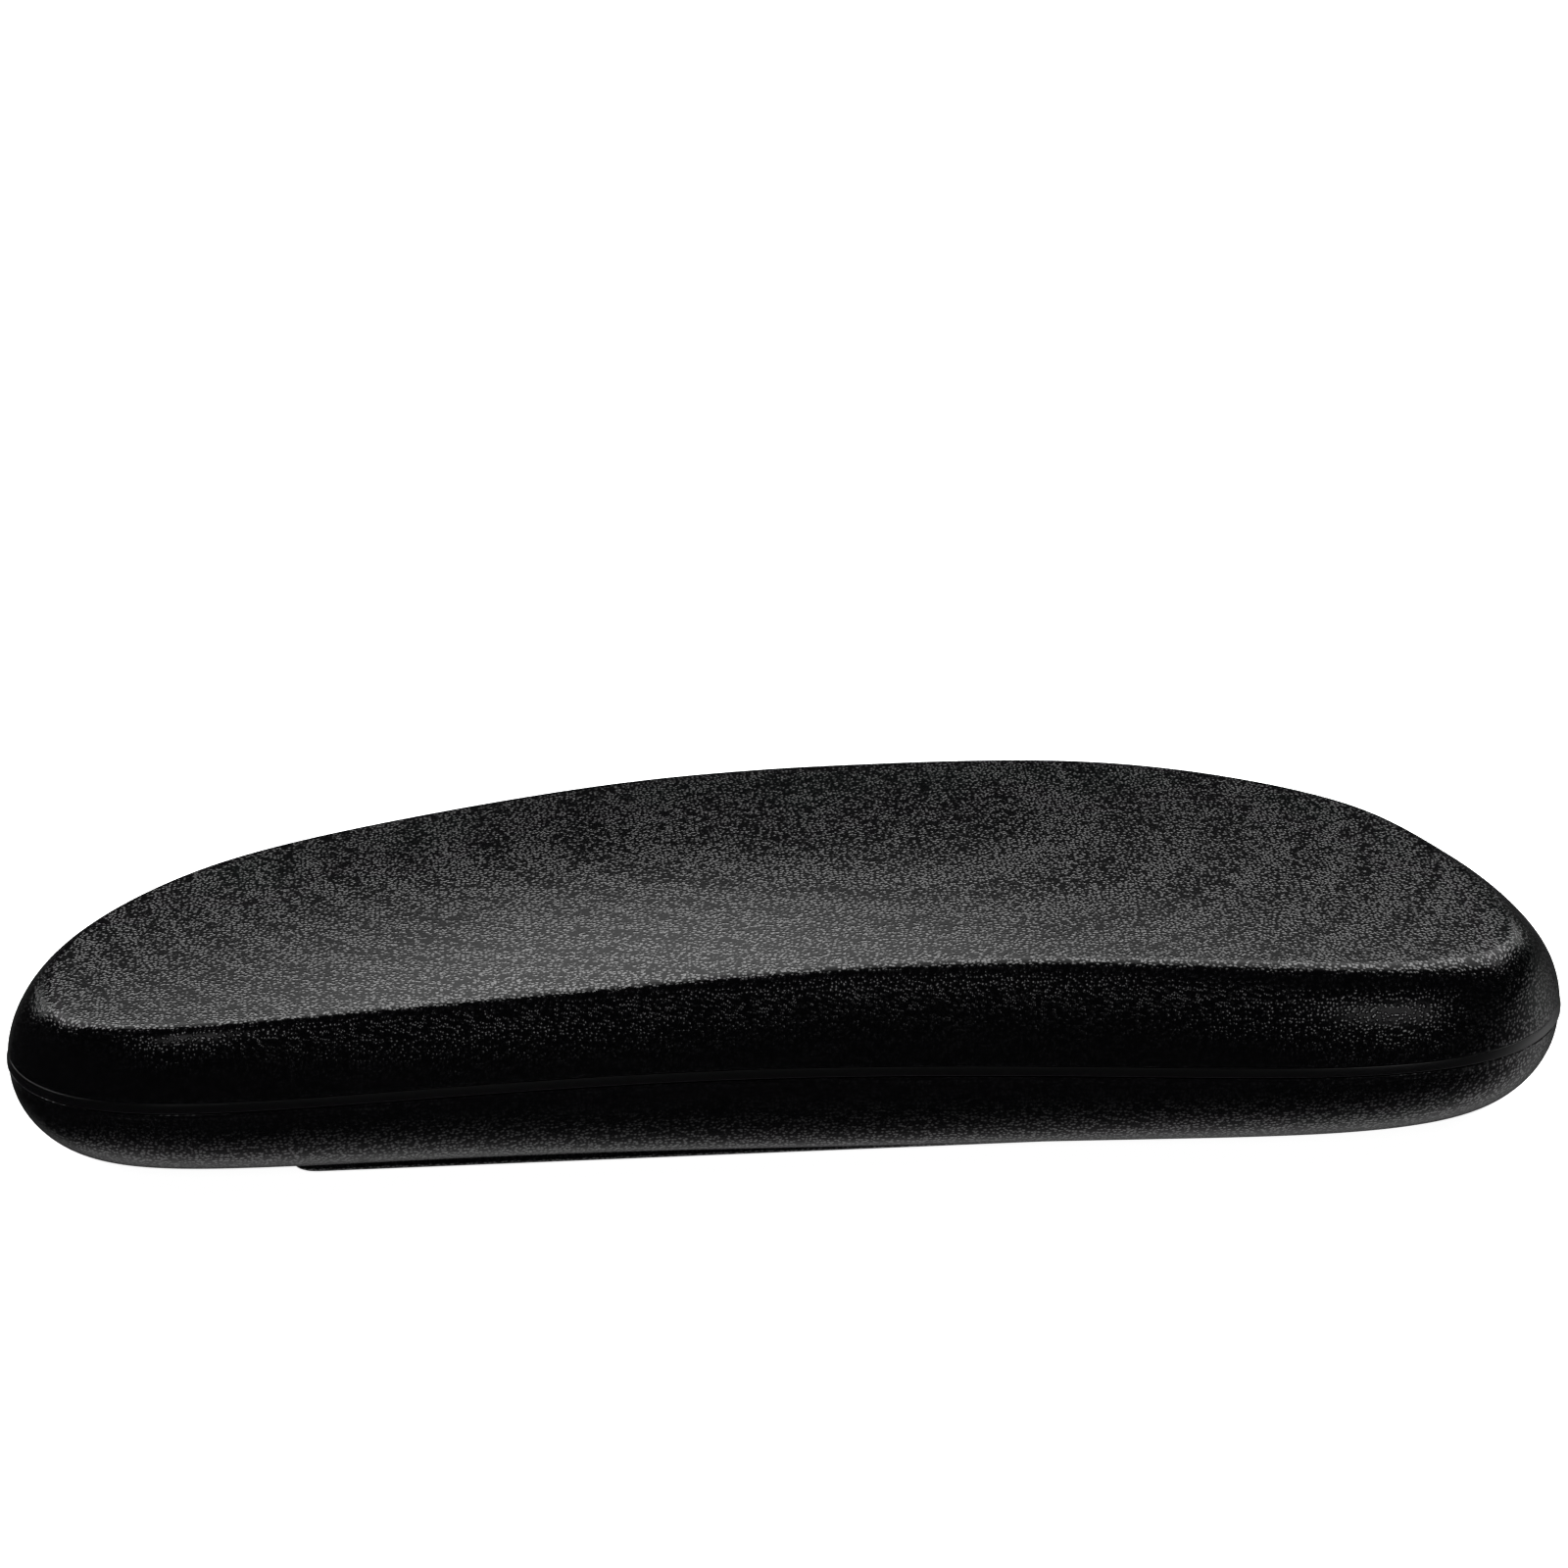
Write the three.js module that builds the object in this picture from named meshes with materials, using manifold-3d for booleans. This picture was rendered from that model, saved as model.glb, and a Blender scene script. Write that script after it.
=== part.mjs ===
// An office chair's armrest pad, in millimetres, built as it comes apart on a bench:
// a grained skin over foam, a rigid tray with a steel plate and its nuts, and a screwed-on lower shell.
// +X runs along the arm to the broad end, +Y to the bulging side and +Z up.
// The origin is under the middle of the pad, on the face that rests on the chair's bracket.
import * as THREE from "three";
import { mergeVertices } from "three/addons/utils/BufferGeometryUtils.js";
import Module from "manifold-3d";

const wasm = await Module();
wasm.setup();

// ---------------------------------------------------------------- driving dimensions

// Control points of the closed curve round the pad at its seam, anticlockwise from the broad end.
const SEAM_CONTROLS = [
  [136.5, -19.5],
  [125.5, 8],
  [109.5, 30.5],
  [66.5, 50],
  [26.5, 49],
  [-18, 48],
  [-63.5, 36.5],
  [-105.5, 24],
  [-132, -5],
  [-134.5, -31],
  [-116, -47.5],
  [-76.5, -45],
  [-17, -39.5],
  [46, -44.5],
  [91.5, -51],
  [123.5, -45.5],
];
const STATIONS_PER_SPAN = 4;

// Heights above the mounting face.
const SEAM_Z = 17.9;
const BAND_RISE = 1.9; // smooth band of the tray's rim, above the seam
const LIP_DROP = 1.1; // smooth lip of the lower shell, below the seam
const BELLY_Z = 1.6; // underside round the mounting plateau
const BAND_PROUD = 0.3; // how far the band stands out at the seam
const GAP = 0.3; // between pieces that touch

// The top face: a shallow crown, highest a little towards the broad end.
const CROWN = { z: 38.3, x: 14.5, y: -2, dropLong: 5.5, dropWide: 1, tilt: 0.8, long: 130, wide: 50 };
const DIP = { z: 3.2, x: -30, spread: 56, from: 12, reach: 50 }; // the near side sinks round this station

// How far the shoulder stands in from the seam, and how the sides lean, in radians.
// The broad end's inset grows by `turn` from its tip towards the far side.
const INSET = { narrowEnd: 8.5, broadEnd: 13, turn: 5, far: 6, near: 6, nearTaper: 1.5 };
const TAPER_REACH = 80; // the near inset grows over this stretch either side of the middle
const LEAN = { far: 0.15, near: 0.1 };
const HOLLOW = { x: 1, spread: 90 }; // the near side's belly is scooped out round this station
const UPPER_PULL = { side: 0.57, top: 0.39 }; // fullness of the upper side's curve
const BELLY = { inset: 19, hollow: 12, sidePull: 0.52, bottomPull: 0.63 };

const SKIN = 1.5;
const SHELL_WALL = 2.2;
const TRAY_WALL = 2.2;
const TRAY_CLEARANCE = 0.8; // between the tray's dish and the lower shell

// The mounting plateau: straight near edge, far edge that follows the bulging side.
const PLATEAU = { left: -86, right: 80, near: -34.5, farLeft: 6, farRight: 22, cornerNear: 5, cornerFar: 10 };

const PLATE = { left: -58, right: 58, near: -33, far: 9, thickness: 2.5, corner: 6 };
const MOUNT_X = [-45, 45];
const MOUNT_Y = [-27, 3];
const MOUNT_HOLE = { shell: 3.5, plate: 3.3 }; // radii
const NUT = { acrossFlats: 10, height: 5, bore: 2.6 };
const NUT_ROOM = 1.6; // for the end of the bracket's screw, above the nut

const PLATE_SCREW_X = [-22, 22];
const PLATE_SCREW_Y = [-24, 0];
const PLATE_SCREW = { head: 3.5, shank: 1.8, cone: 1.8, length: 8 };

const COVER_SCREWS = [
  [-72, -27],
  [68, -27],
  [100, -14],
  [45, 25],
  [-25, 20],
  [-101, -14],
];
const COVER_SCREW = { head: 3.3, headHeight: 1.9, shank: 1.5, length: 8.5, z: 1.8 };
const RECESS = { radius: 3.7, ceiling: 4 }; // the pocket that hides a cover screw's head
const POST = { radius: 5.5, top: 5.6 }; // thickened wall round that pocket
const BOSS = { radius: 4, top: 13.6, wall: 1.2 }; // moulded on the tray for every screw
const CROSS = { width: 0.8, length: 3.6, depth: 1.1 }; // cross recess in a screw's head

const ROUND = 16; // sides of a hole or boss

// ---------------------------------------------------------------- heights that follow from them

const BAND_TOP = SEAM_Z + BAND_RISE;
const LIP_BOTTOM = SEAM_Z - LIP_DROP;
const SHELL_FLOOR = BELLY_Z + SHELL_WALL;
const PLATE_Z = SHELL_FLOOR + GAP;
const TRAY_Z = PLATE_Z + PLATE.thickness + GAP;
const TRAY_FLOOR = TRAY_Z + TRAY_WALL;
const TRAY_DEPTH = SHELL_WALL + TRAY_CLEARANCE; // the dish's outside, measured in from the lower shell's
const FOAM_DEPTH = TRAY_DEPTH + TRAY_WALL + GAP;
const NUT_CORNER = NUT.acrossFlats / Math.sqrt(3);
const POCKET = { radius: NUT_CORNER + GAP, top: TRAY_Z + NUT.height + NUT_ROOM };
const DOME = { radius: POCKET.radius + TRAY_WALL, top: POCKET.top + TRAY_WALL };

// ---------------------------------------------------------------- booleans

function toSolid(geometry) {
  const bare = geometry.clone();
  bare.deleteAttribute("normal");
  bare.deleteAttribute("uv");
  const merged = mergeVertices(bare, 1e-4);
  return new wasm.Manifold(
    new wasm.Mesh({
      numProp: 3,
      vertProperties: merged.getAttribute("position").array,
      triVerts: new Uint32Array(merged.index.array),
    }),
  );
}

function toGeometry(solid) {
  const mesh = solid.getMesh();
  const geometry = new THREE.BufferGeometry();
  const points = new Float32Array(mesh.numVert * 3);
  for (let i = 0; i < mesh.numVert; i++) {
    const at = i * mesh.numProp;
    points.set(mesh.vertProperties.subarray(at, at + 3), i * 3);
  }
  geometry.setAttribute("position", new THREE.BufferAttribute(points, 3));
  geometry.setIndex(new THREE.BufferAttribute(new Uint32Array(mesh.triVerts), 1));
  geometry.computeVertexNormals();
  return geometry;
}

// The first geometry with the `added` ones joined on and the `cut` ones taken away.
function shaped(geometry, { added = [], cut = [] }) {
  let solid = toSolid(geometry);
  for (const piece of added) solid = solid.add(toSolid(piece));
  for (const piece of cut) solid = solid.subtract(toSolid(piece));
  return toGeometry(solid);
}

// An upright round post or hole from one height to another; its two ends may differ in radius.
function post(x, y, bottom, top, radius, topRadius = radius) {
  const cylinder = new THREE.CylinderGeometry(topRadius, radius, top - bottom, ROUND);
  return cylinder.rotateX(Math.PI / 2).translate(x, y, (bottom + top) / 2);
}

// ---------------------------------------------------------------- the pad's own surfaces

// A point on the closed uniform cubic B-spline that the control points shape.
function splinePoint(controls, u) {
  const first = Math.floor(u);
  const t = u - first;
  const weights = [
    (1 - t) ** 3 / 6,
    (3 * t ** 3 - 6 * t ** 2 + 4) / 6,
    (-3 * t ** 3 + 3 * t ** 2 + 3 * t + 1) / 6,
    t ** 3 / 6,
  ];
  const point = new THREE.Vector2();
  weights.forEach((weight, k) => {
    const [x, y] = controls.at((first + k - 1) % controls.length);
    point.x += weight * x;
    point.y += weight * y;
  });
  return point;
}

function crownHeight(x, y) {
  const along = (x - CROWN.x) / CROWN.long;
  const across = (y - CROWN.y) / CROWN.wide;
  const crown = CROWN.z - CROWN.dropLong * along ** 2 - CROWN.dropWide * across ** 2 + CROWN.tilt * across;
  const nearness = Math.max(0, (DIP.from - y) / DIP.reach);
  return crown - DIP.z * nearness ** 2 * Math.exp(-(((x - DIP.x) / DIP.spread) ** 2));
}

const { clamp, lerp, smoothstep } = THREE.MathUtils;

// One station on the seam: where it is, which way is out, and its two side curves.
// A side curve holds (inset from the seam, height) and runs upwards.
function stationAt(u, middle) {
  const step = 0.01;
  const count = SEAM_CONTROLS.length;
  const ahead = splinePoint(SEAM_CONTROLS, u + step);
  const behind = splinePoint(SEAM_CONTROLS, (u - step + count) % count);
  const along = ahead.sub(behind).normalize();
  const out = new THREE.Vector2(along.y, -along.x);
  const at = splinePoint(SEAM_CONTROLS, u).sub(middle);

  const near = smoothstep(-out.y, 0, 1);
  const far = smoothstep(out.y, 0, 1);
  const hollow = near * Math.exp(-(((at.x - HOLLOW.x) / HOLLOW.spread) ** 2));
  const endInset = lerp(INSET.narrowEnd, INSET.broadEnd + INSET.turn * out.y, (1 + out.x) / 2);
  const nearInset = INSET.near + INSET.nearTaper * clamp(at.x / TAPER_REACH, -1, 1);
  const inset = endInset * (1 - near - far) + INSET.far * far + nearInset * near;
  const lean = lerp(LEAN.far, LEAN.near, near);

  const heightAt = (d) => crownHeight(at.x - out.x * d, at.y - out.y * d);
  const top = heightAt(inset);
  const rise = heightAt(inset + 1) - top;
  const side = UPPER_PULL.side * (top - BAND_TOP);
  const flat = UPPER_PULL.top * inset;
  const upper = new THREE.CubicBezierCurve(
    new THREE.Vector2(0, BAND_TOP),
    new THREE.Vector2(side * Math.sin(lean), BAND_TOP + side * Math.cos(lean)),
    new THREE.Vector2(inset - flat, top - rise * flat),
    new THREE.Vector2(inset, top),
  );

  const belly = BELLY.inset - BELLY.hollow * hollow;
  const depth = LIP_BOTTOM - BELLY_Z;
  const lower = new THREE.CubicBezierCurve(
    new THREE.Vector2(belly, BELLY_Z),
    new THREE.Vector2(belly * (1 - BELLY.bottomPull), BELLY_Z),
    new THREE.Vector2(0, LIP_BOTTOM - BELLY.sidePull * depth),
    new THREE.Vector2(0, LIP_BOTTOM),
  );
  return { at, out, upper, lower };
}

const SPANS = SEAM_CONTROLS.length;
const STATION_STEPS = Array.from({ length: SPANS * STATIONS_PER_SPAN }, (_, i) => i / STATIONS_PER_SPAN);
const SEAM_BOX = new THREE.Box2().setFromPoints(STATION_STEPS.map((u) => splinePoint(SEAM_CONTROLS, u)));
const SEAM_MIDDLE = SEAM_BOX.getCenter(new THREE.Vector2());
const STATIONS = STATION_STEPS.map((u) => stationAt(u, SEAM_MIDDLE));

// A ring of points, one per station; `place` gives each one's inset from the seam and its height.
function ring(place) {
  return STATIONS.map((station) => {
    const spot = place(station);
    const x = station.at.x - station.out.x * spot.x;
    const y = station.at.y - station.out.y * spot.x;
    return new THREE.Vector3(x, y, spot.y);
  });
}

function levelRing(inset, z) {
  return ring(() => new THREE.Vector2(inset, z));
}

// Rings up one of the two side curves, `depth` inside it and never under `floor`.
function sideRings(name, depth, floor, steps) {
  return Array.from({ length: steps + 1 }, (_, i) =>
    ring((station) => {
      const curve = station[name];
      const spot = curve.getPoint(i / steps);
      const along = curve.getTangent(i / steps);
      spot.x += depth * along.y;
      spot.y = Math.max(spot.y - depth * along.x, floor);
      return spot;
    }),
  );
}

function middleOf(points) {
  const sum = points.reduce((total, point) => total.add(point), new THREE.Vector3());
  return sum.divideScalar(points.length);
}

// The crown inside the shoulder: smaller and smaller rings, and the point that they close on.
function crown(shoulder, depth) {
  const pole = middleOf(shoulder);
  const lift = (point) => point.setZ(crownHeight(point.x, point.y) - depth);
  const rings = [0.3, 0.65].map((share) => shoulder.map((point) => lift(point.clone().lerp(pole, share))));
  return { rings, pole: lift(pole) };
}

// A closed skin through rings that run from the pole below to the pole above.
function loft(lowPole, rings, highPole) {
  const count = rings[0].length;
  const points = [...rings.flat(), lowPole, highPole];
  const low = points.length - 2;
  const high = points.length - 1;
  const last = (rings.length - 1) * count;
  const faces = [];
  for (let i = 0; i < count; i++) {
    const next = (i + 1) % count;
    faces.push(low, next, i, high, last + i, last + next);
    for (let k = 0; k < last; k += count) {
      faces.push(k + i, k + next, k + count + next);
      faces.push(k + i, k + count + next, k + count + i);
    }
  }
  const geometry = new THREE.BufferGeometry().setFromPoints(points);
  geometry.setIndex(faces);
  geometry.computeVertexNormals();
  return geometry;
}

function poleAt(rings, z) {
  return middleOf(rings[0]).setZ(z);
}

// ---------------------------------------------------------------- screw and nut places

const grid = (xs, ys) => ys.flatMap((y) => xs.map((x) => [x, y]));
const MOUNTS = grid(MOUNT_X, MOUNT_Y);
const PLATE_SCREWS = grid(PLATE_SCREW_X, PLATE_SCREW_Y);

// ---------------------------------------------------------------- pieces

// Grained cover, open underneath, with its foot on the tray's rim.
function topSkin() {
  const inner = sideRings("upper", SKIN, BAND_TOP, 5);
  const outer = sideRings("upper", 0, BAND_TOP, 8);
  const ceiling = crown(inner.at(-1), SKIN);
  const face = crown(outer.at(-1), 0);
  const down = [...inner, ...ceiling.rings].reverse();
  return loft(ceiling.pole, [...down, ...outer, ...face.rings], face.pole);
}

// Foam that fills the skin and the tray's dish, with room for the tray's domes and bosses.
function foamCore() {
  const dish = sideRings("lower", FOAM_DEPTH, TRAY_FLOOR + GAP, 4);
  const body = sideRings("upper", SKIN + GAP, BAND_TOP, 5);
  const face = crown(body.at(-1), SKIN + GAP);
  const rings = [...dish, levelRing(FOAM_DEPTH, BAND_TOP), ...body, ...face.rings];
  const domes = MOUNTS.map(([x, y]) => post(x, y, TRAY_Z, DOME.top + GAP, DOME.radius + GAP));
  const bosses = [...PLATE_SCREWS, ...COVER_SCREWS].map(([x, y]) =>
    post(x, y, TRAY_Z, BOSS.top + GAP, BOSS.radius + GAP),
  );
  return shaped(loft(poleAt(dish, TRAY_FLOOR + GAP), rings, face.pole), { cut: [...domes, ...bosses] });
}

// Rigid dish under the foam. Its rim is the smooth band that shows all round the pad.
function carrierTray() {
  const outside = sideRings("lower", TRAY_DEPTH, TRAY_Z, 4);
  const inside = sideRings("lower", TRAY_DEPTH + TRAY_WALL, TRAY_FLOOR, 4);
  const rim = [
    levelRing(TRAY_DEPTH, SEAM_Z),
    levelRing(-BAND_PROUD, SEAM_Z),
    levelRing(0, BAND_TOP - GAP),
    levelRing(TRAY_DEPTH + TRAY_WALL, BAND_TOP - GAP),
  ];
  const rings = [...outside, ...rim, ...inside.reverse()];
  const dish = loft(poleAt(outside, TRAY_Z), rings, poleAt(outside, TRAY_FLOOR));
  const domes = MOUNTS.map(([x, y]) => post(x, y, TRAY_Z, DOME.top, DOME.radius));
  const pockets = MOUNTS.map(([x, y]) => post(x, y, TRAY_Z - GAP, POCKET.top, POCKET.radius));
  const plateBosses = PLATE_SCREWS.map(([x, y]) => post(x, y, TRAY_Z, BOSS.top, BOSS.radius));
  const coverBosses = COVER_SCREWS.map(([x, y]) => post(x, y, POST.top + GAP, BOSS.top, BOSS.radius));
  const pilotTop = BOSS.top - BOSS.wall;
  const plateBores = PLATE_SCREWS.map(([x, y]) =>
    post(x, y, TRAY_Z - GAP, pilotTop, PLATE_SCREW.shank + GAP),
  );
  const coverBores = COVER_SCREWS.map(([x, y]) => post(x, y, POST.top, pilotTop, COVER_SCREW.shank + GAP));
  return shaped(dish, {
    added: [...domes, ...plateBosses, ...coverBosses],
    cut: [...pockets, ...plateBores, ...coverBores],
  });
}

// Grained bottom cover with the mounting plateau, its holes and the screws' pockets.
function lowerShell() {
  const outside = sideRings("lower", 0, BELLY_Z, 7);
  const inside = sideRings("lower", SHELL_WALL, SHELL_FLOOR, 5);
  const lip = [levelRing(-BAND_PROUD, SEAM_Z - GAP), levelRing(SHELL_WALL, SEAM_Z - GAP)];
  const rings = [...outside, ...lip, ...inside.reverse()];
  const bowl = loft(poleAt(outside, BELLY_Z), rings, poleAt(outside, SHELL_FLOOR));
  const plateau = new THREE.ExtrudeGeometry(plateauShape(), {
    depth: (BELLY_Z + SHELL_FLOOR) / 2,
    bevelEnabled: false,
    curveSegments: 6,
  });
  const posts = COVER_SCREWS.map(([x, y]) => post(x, y, SHELL_FLOOR - 1, POST.top, POST.radius));
  const holes = MOUNTS.map(([x, y]) => post(x, y, -1, PLATE_Z, MOUNT_HOLE.shell));
  const recesses = COVER_SCREWS.map(([x, y]) => post(x, y, -1, RECESS.ceiling, RECESS.radius));
  const bores = COVER_SCREWS.map(([x, y]) => post(x, y, 0, POST.top + 1, COVER_SCREW.shank + GAP));
  return shaped(bowl, { added: [plateau, ...posts], cut: [...holes, ...recesses, ...bores] });
}

// A four-sided outline with each corner rounded by its own radius.
function roundedShape(corners) {
  const shape = new THREE.Shape();
  corners.forEach(([x, y, radius], i) => {
    const corner = new THREE.Vector2(x, y);
    const before = new THREE.Vector2(...corners.at(i - 1)).sub(corner).setLength(radius).add(corner);
    const after = new THREE.Vector2(...corners[(i + 1) % corners.length]).sub(corner);
    after.setLength(radius).add(corner);
    if (i === 0) shape.moveTo(before.x, before.y);
    else shape.lineTo(before.x, before.y);
    shape.quadraticCurveTo(corner.x, corner.y, after.x, after.y);
  });
  shape.closePath();
  return shape;
}

function plateauShape() {
  return roundedShape([
    [PLATEAU.left, PLATEAU.near, PLATEAU.cornerNear],
    [PLATEAU.right, PLATEAU.near, PLATEAU.cornerNear],
    [PLATEAU.right, PLATEAU.farRight, PLATEAU.cornerFar],
    [PLATEAU.left, PLATEAU.farLeft, PLATEAU.cornerFar],
  ]);
}

// Steel plate under the tray, with clearance holes for the bracket and sunk holes for its own screws.
function mountPlate() {
  const outline = roundedShape([
    [PLATE.left, PLATE.near, PLATE.corner],
    [PLATE.right, PLATE.near, PLATE.corner],
    [PLATE.right, PLATE.far, PLATE.corner],
    [PLATE.left, PLATE.far, PLATE.corner],
  ]);
  const sheet = new THREE.ExtrudeGeometry(outline, {
    depth: PLATE.thickness,
    bevelEnabled: false,
    curveSegments: 5,
  }).translate(0, 0, PLATE_Z);
  const top = PLATE_Z + PLATE.thickness;
  const { head, shank, cone } = PLATE_SCREW;
  const holes = MOUNTS.map(([x, y]) => post(x, y, PLATE_Z - 1, top + 1, MOUNT_HOLE.plate));
  const bores = PLATE_SCREWS.map(([x, y]) => post(x, y, PLATE_Z - 1, top + 1, shank + GAP));
  const sinks = PLATE_SCREWS.map(([x, y]) =>
    post(x, y, PLATE_Z, PLATE_Z + cone + GAP, head + GAP, shank + GAP),
  );
  return shaped(sheet, { cut: [...holes, ...bores, ...sinks] });
}

// Hexagonal nut on the plate, with its bore at the thread's inner size.
function weldNut() {
  const hexagon = new THREE.Shape();
  for (let i = 0; i < 6; i++) {
    const turn = (i * Math.PI) / 3;
    hexagon[i ? "lineTo" : "moveTo"](NUT_CORNER * Math.cos(turn), NUT_CORNER * Math.sin(turn));
  }
  hexagon.closePath();
  const bore = new THREE.Path();
  bore.absarc(0, 0, NUT.bore, 0, 2 * Math.PI, true);
  hexagon.holes.push(bore);
  return new THREE.ExtrudeGeometry(hexagon, {
    depth: NUT.height,
    bevelEnabled: false,
    curveSegments: 10,
  });
}

// A screw standing on its head, with a blunt point and a cross recess in the head's face.
function screw(profile) {
  const turned = new THREE.LatheGeometry(
    profile.map(([radius, z]) => new THREE.Vector2(radius, z)),
    16,
  ).rotateX(Math.PI / 2);
  const bar = (width, length) => new THREE.BoxGeometry(width, length, 2 * CROSS.depth);
  return shaped(turned, { cut: [bar(CROSS.width, CROSS.length), bar(CROSS.length, CROSS.width)] });
}

function coverScrew() {
  const { head, headHeight, shank, length } = COVER_SCREW;
  const end = headHeight + length;
  return screw([
    [0, 0],
    [head * 0.7, 0],
    [head, headHeight * 0.6],
    [head, headHeight],
    [shank, headHeight],
    [shank, end - shank],
    [0, end],
  ]);
}

function plateScrew() {
  const { head, shank, cone, length } = PLATE_SCREW;
  return screw([
    [0, 0],
    [head, 0],
    [shank, cone],
    [shank, length - shank],
    [0, length],
  ]);
}

// ---------------------------------------------------------------- finishes

const FINISH = {
  skin: { color: 0x171718, roughness: 0.5, metalness: 0 },
  foam: { color: 0xcfc6ae, roughness: 0.95, metalness: 0 },
  tray: { color: 0x101011, roughness: 0.35, metalness: 0 },
  shell: { color: 0x161617, roughness: 0.5, metalness: 0 },
  plate: { color: 0x8d9094, roughness: 0.4, metalness: 1 },
  nut: { color: 0xb4b6b2, roughness: 0.3, metalness: 1 },
  plateScrew: { color: 0xb4b6b2, roughness: 0.3, metalness: 1 },
  coverScrew: { color: 0x1c1c1e, roughness: 0.4, metalness: 1 },
};

function part(name, geometry, finish, x = 0, y = 0, z = 0) {
  const mesh = new THREE.Mesh(geometry, new THREE.MeshStandardMaterial(FINISH[finish]));
  mesh.name = name;
  mesh.position.set(x, y, z);
  return mesh;
}

// ---------------------------------------------------------------- assembly

const pad = new THREE.Group();
pad.add(
  part("top_skin", topSkin(), "skin"),
  part("foam_core", foamCore(), "foam"),
  part("carrier_tray", carrierTray(), "tray"),
  part("mount_plate", mountPlate(), "plate"),
  part("lower_shell", lowerShell(), "shell"),
);
MOUNTS.forEach(([x, y], i) => pad.add(part(`weld_nut_${i + 1}`, weldNut(), "nut", x, y, TRAY_Z)));
PLATE_SCREWS.forEach(([x, y], i) =>
  pad.add(part(`plate_screw_${i + 1}`, plateScrew(), "plateScrew", x, y, PLATE_Z)),
);
COVER_SCREWS.forEach(([x, y], i) =>
  pad.add(part(`cover_screw_${i + 1}`, coverScrew(), "coverScrew", x, y, COVER_SCREW.z)),
);

export default pad;
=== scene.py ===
"""The looks of an office chair's armrest pad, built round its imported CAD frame, in metres.

Every piece stands where its CAD node says. +X runs along the arm to the broad end, +Y to the
bulging side and +Z up. Shapes are worked out in millimetres and turned to metres as they
become meshes.
"""

import math
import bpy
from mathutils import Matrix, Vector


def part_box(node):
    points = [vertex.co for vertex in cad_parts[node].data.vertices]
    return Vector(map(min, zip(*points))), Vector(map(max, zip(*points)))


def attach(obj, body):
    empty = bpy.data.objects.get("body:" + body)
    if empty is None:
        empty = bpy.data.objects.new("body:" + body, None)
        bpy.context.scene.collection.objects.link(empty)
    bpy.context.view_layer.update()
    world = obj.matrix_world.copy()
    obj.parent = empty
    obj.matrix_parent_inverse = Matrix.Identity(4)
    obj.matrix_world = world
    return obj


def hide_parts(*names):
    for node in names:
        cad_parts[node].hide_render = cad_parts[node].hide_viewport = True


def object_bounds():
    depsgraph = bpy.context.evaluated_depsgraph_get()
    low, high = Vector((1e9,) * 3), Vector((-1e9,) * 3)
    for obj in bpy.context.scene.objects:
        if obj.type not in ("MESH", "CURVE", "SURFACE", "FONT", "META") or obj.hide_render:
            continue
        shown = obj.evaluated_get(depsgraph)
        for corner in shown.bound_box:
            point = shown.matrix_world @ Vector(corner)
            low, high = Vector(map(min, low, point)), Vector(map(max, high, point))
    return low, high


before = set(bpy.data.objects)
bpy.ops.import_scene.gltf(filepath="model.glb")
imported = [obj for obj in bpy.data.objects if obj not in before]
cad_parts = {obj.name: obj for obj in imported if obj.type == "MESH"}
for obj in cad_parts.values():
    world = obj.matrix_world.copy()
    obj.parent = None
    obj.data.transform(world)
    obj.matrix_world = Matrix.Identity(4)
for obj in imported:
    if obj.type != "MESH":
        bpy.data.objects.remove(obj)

from types import SimpleNamespace

import bpy
import numpy as np
from bpy.props import FloatProperty, FloatVectorProperty, IntProperty, PointerProperty
from mathutils import Euler, Vector, noise

CAD_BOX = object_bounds()

bl_info = {
    "name": "Chair Armrest Pad",
    "version": (1, 0, 0),
    "blender": (4, 5, 0),
    "location": "View3D > Sidebar > Armrest Pad",
    "description": "Builds a grained armrest pad and a soft studio round its CAD frame",
    "category": "Object",
}

MM = 0.001
BODY = "root"

# ---------------------------------------------------------------- the pad's shape, in millimetres

# Control points of the closed curve round the pad at its seam, anticlockwise from the broad end.
SEAM_CONTROLS = np.array(
    [
        [136.5, -19.5], [125.5, 8], [109.5, 30.5], [66.5, 50],
        [26.5, 49], [-18, 48], [-63.5, 36.5], [-105.5, 24],
        [-132, -5], [-134.5, -31], [-116, -47.5], [-76.5, -45],
        [-17, -39.5], [46, -44.5], [91.5, -51], [123.5, -45.5],
    ]
)
CROWN = SimpleNamespace(
    z=38.3, x=14.5, y=-2, drop_long=5.5, drop_wide=1, tilt=0.8, long=130, wide=50
)
# The near side of the top face sinks round this station.
DIP = SimpleNamespace(z=3.2, x=-30, spread=56, start=12, reach=50)
INSET = SimpleNamespace(narrow_end=8.5, broad_end=13, turn=5, far=6, near=6, near_taper=1.5)
TAPER_REACH = 80
LEAN = SimpleNamespace(far=0.15, near=0.1)
# Round this station the underside reaches out towards the near side.
HOLLOW = SimpleNamespace(x=1, spread=90)
UPPER_PULL = SimpleNamespace(side=0.57, top=0.39)
BELLY = SimpleNamespace(z=1.6, inset=19, hollow=12, side_pull=0.52, bottom_pull=0.63)
LIP_DROP = 1.1  # smooth lip of the lower shell, below the seam
SEAM_GAP = 0.3  # the frame's gap between the lower shell and the tray's rim
BAND_PROUD = 0.3
SKIN = 1.5
SWELL_WAVE = 22  # how far apart the cover's unevenness repeats
WALL = 2.2
TRAY_CLEARANCE = 0.8
FOAM_GAP = 0.3
PLATEAU = SimpleNamespace(
    left=-86, right=80, near=-34.5, far_left=6, far_right=22, corner_near=5, corner_far=10
)
PLATEAU_ROUND = 1.2  # the plateau's moulded edge
PLATEAU_FLARE = 0.5  # how far its near edge stands out past the CAD plateau's
MOUNT_HOLE = SimpleNamespace(shell=3.5, plate=3.3)
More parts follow.
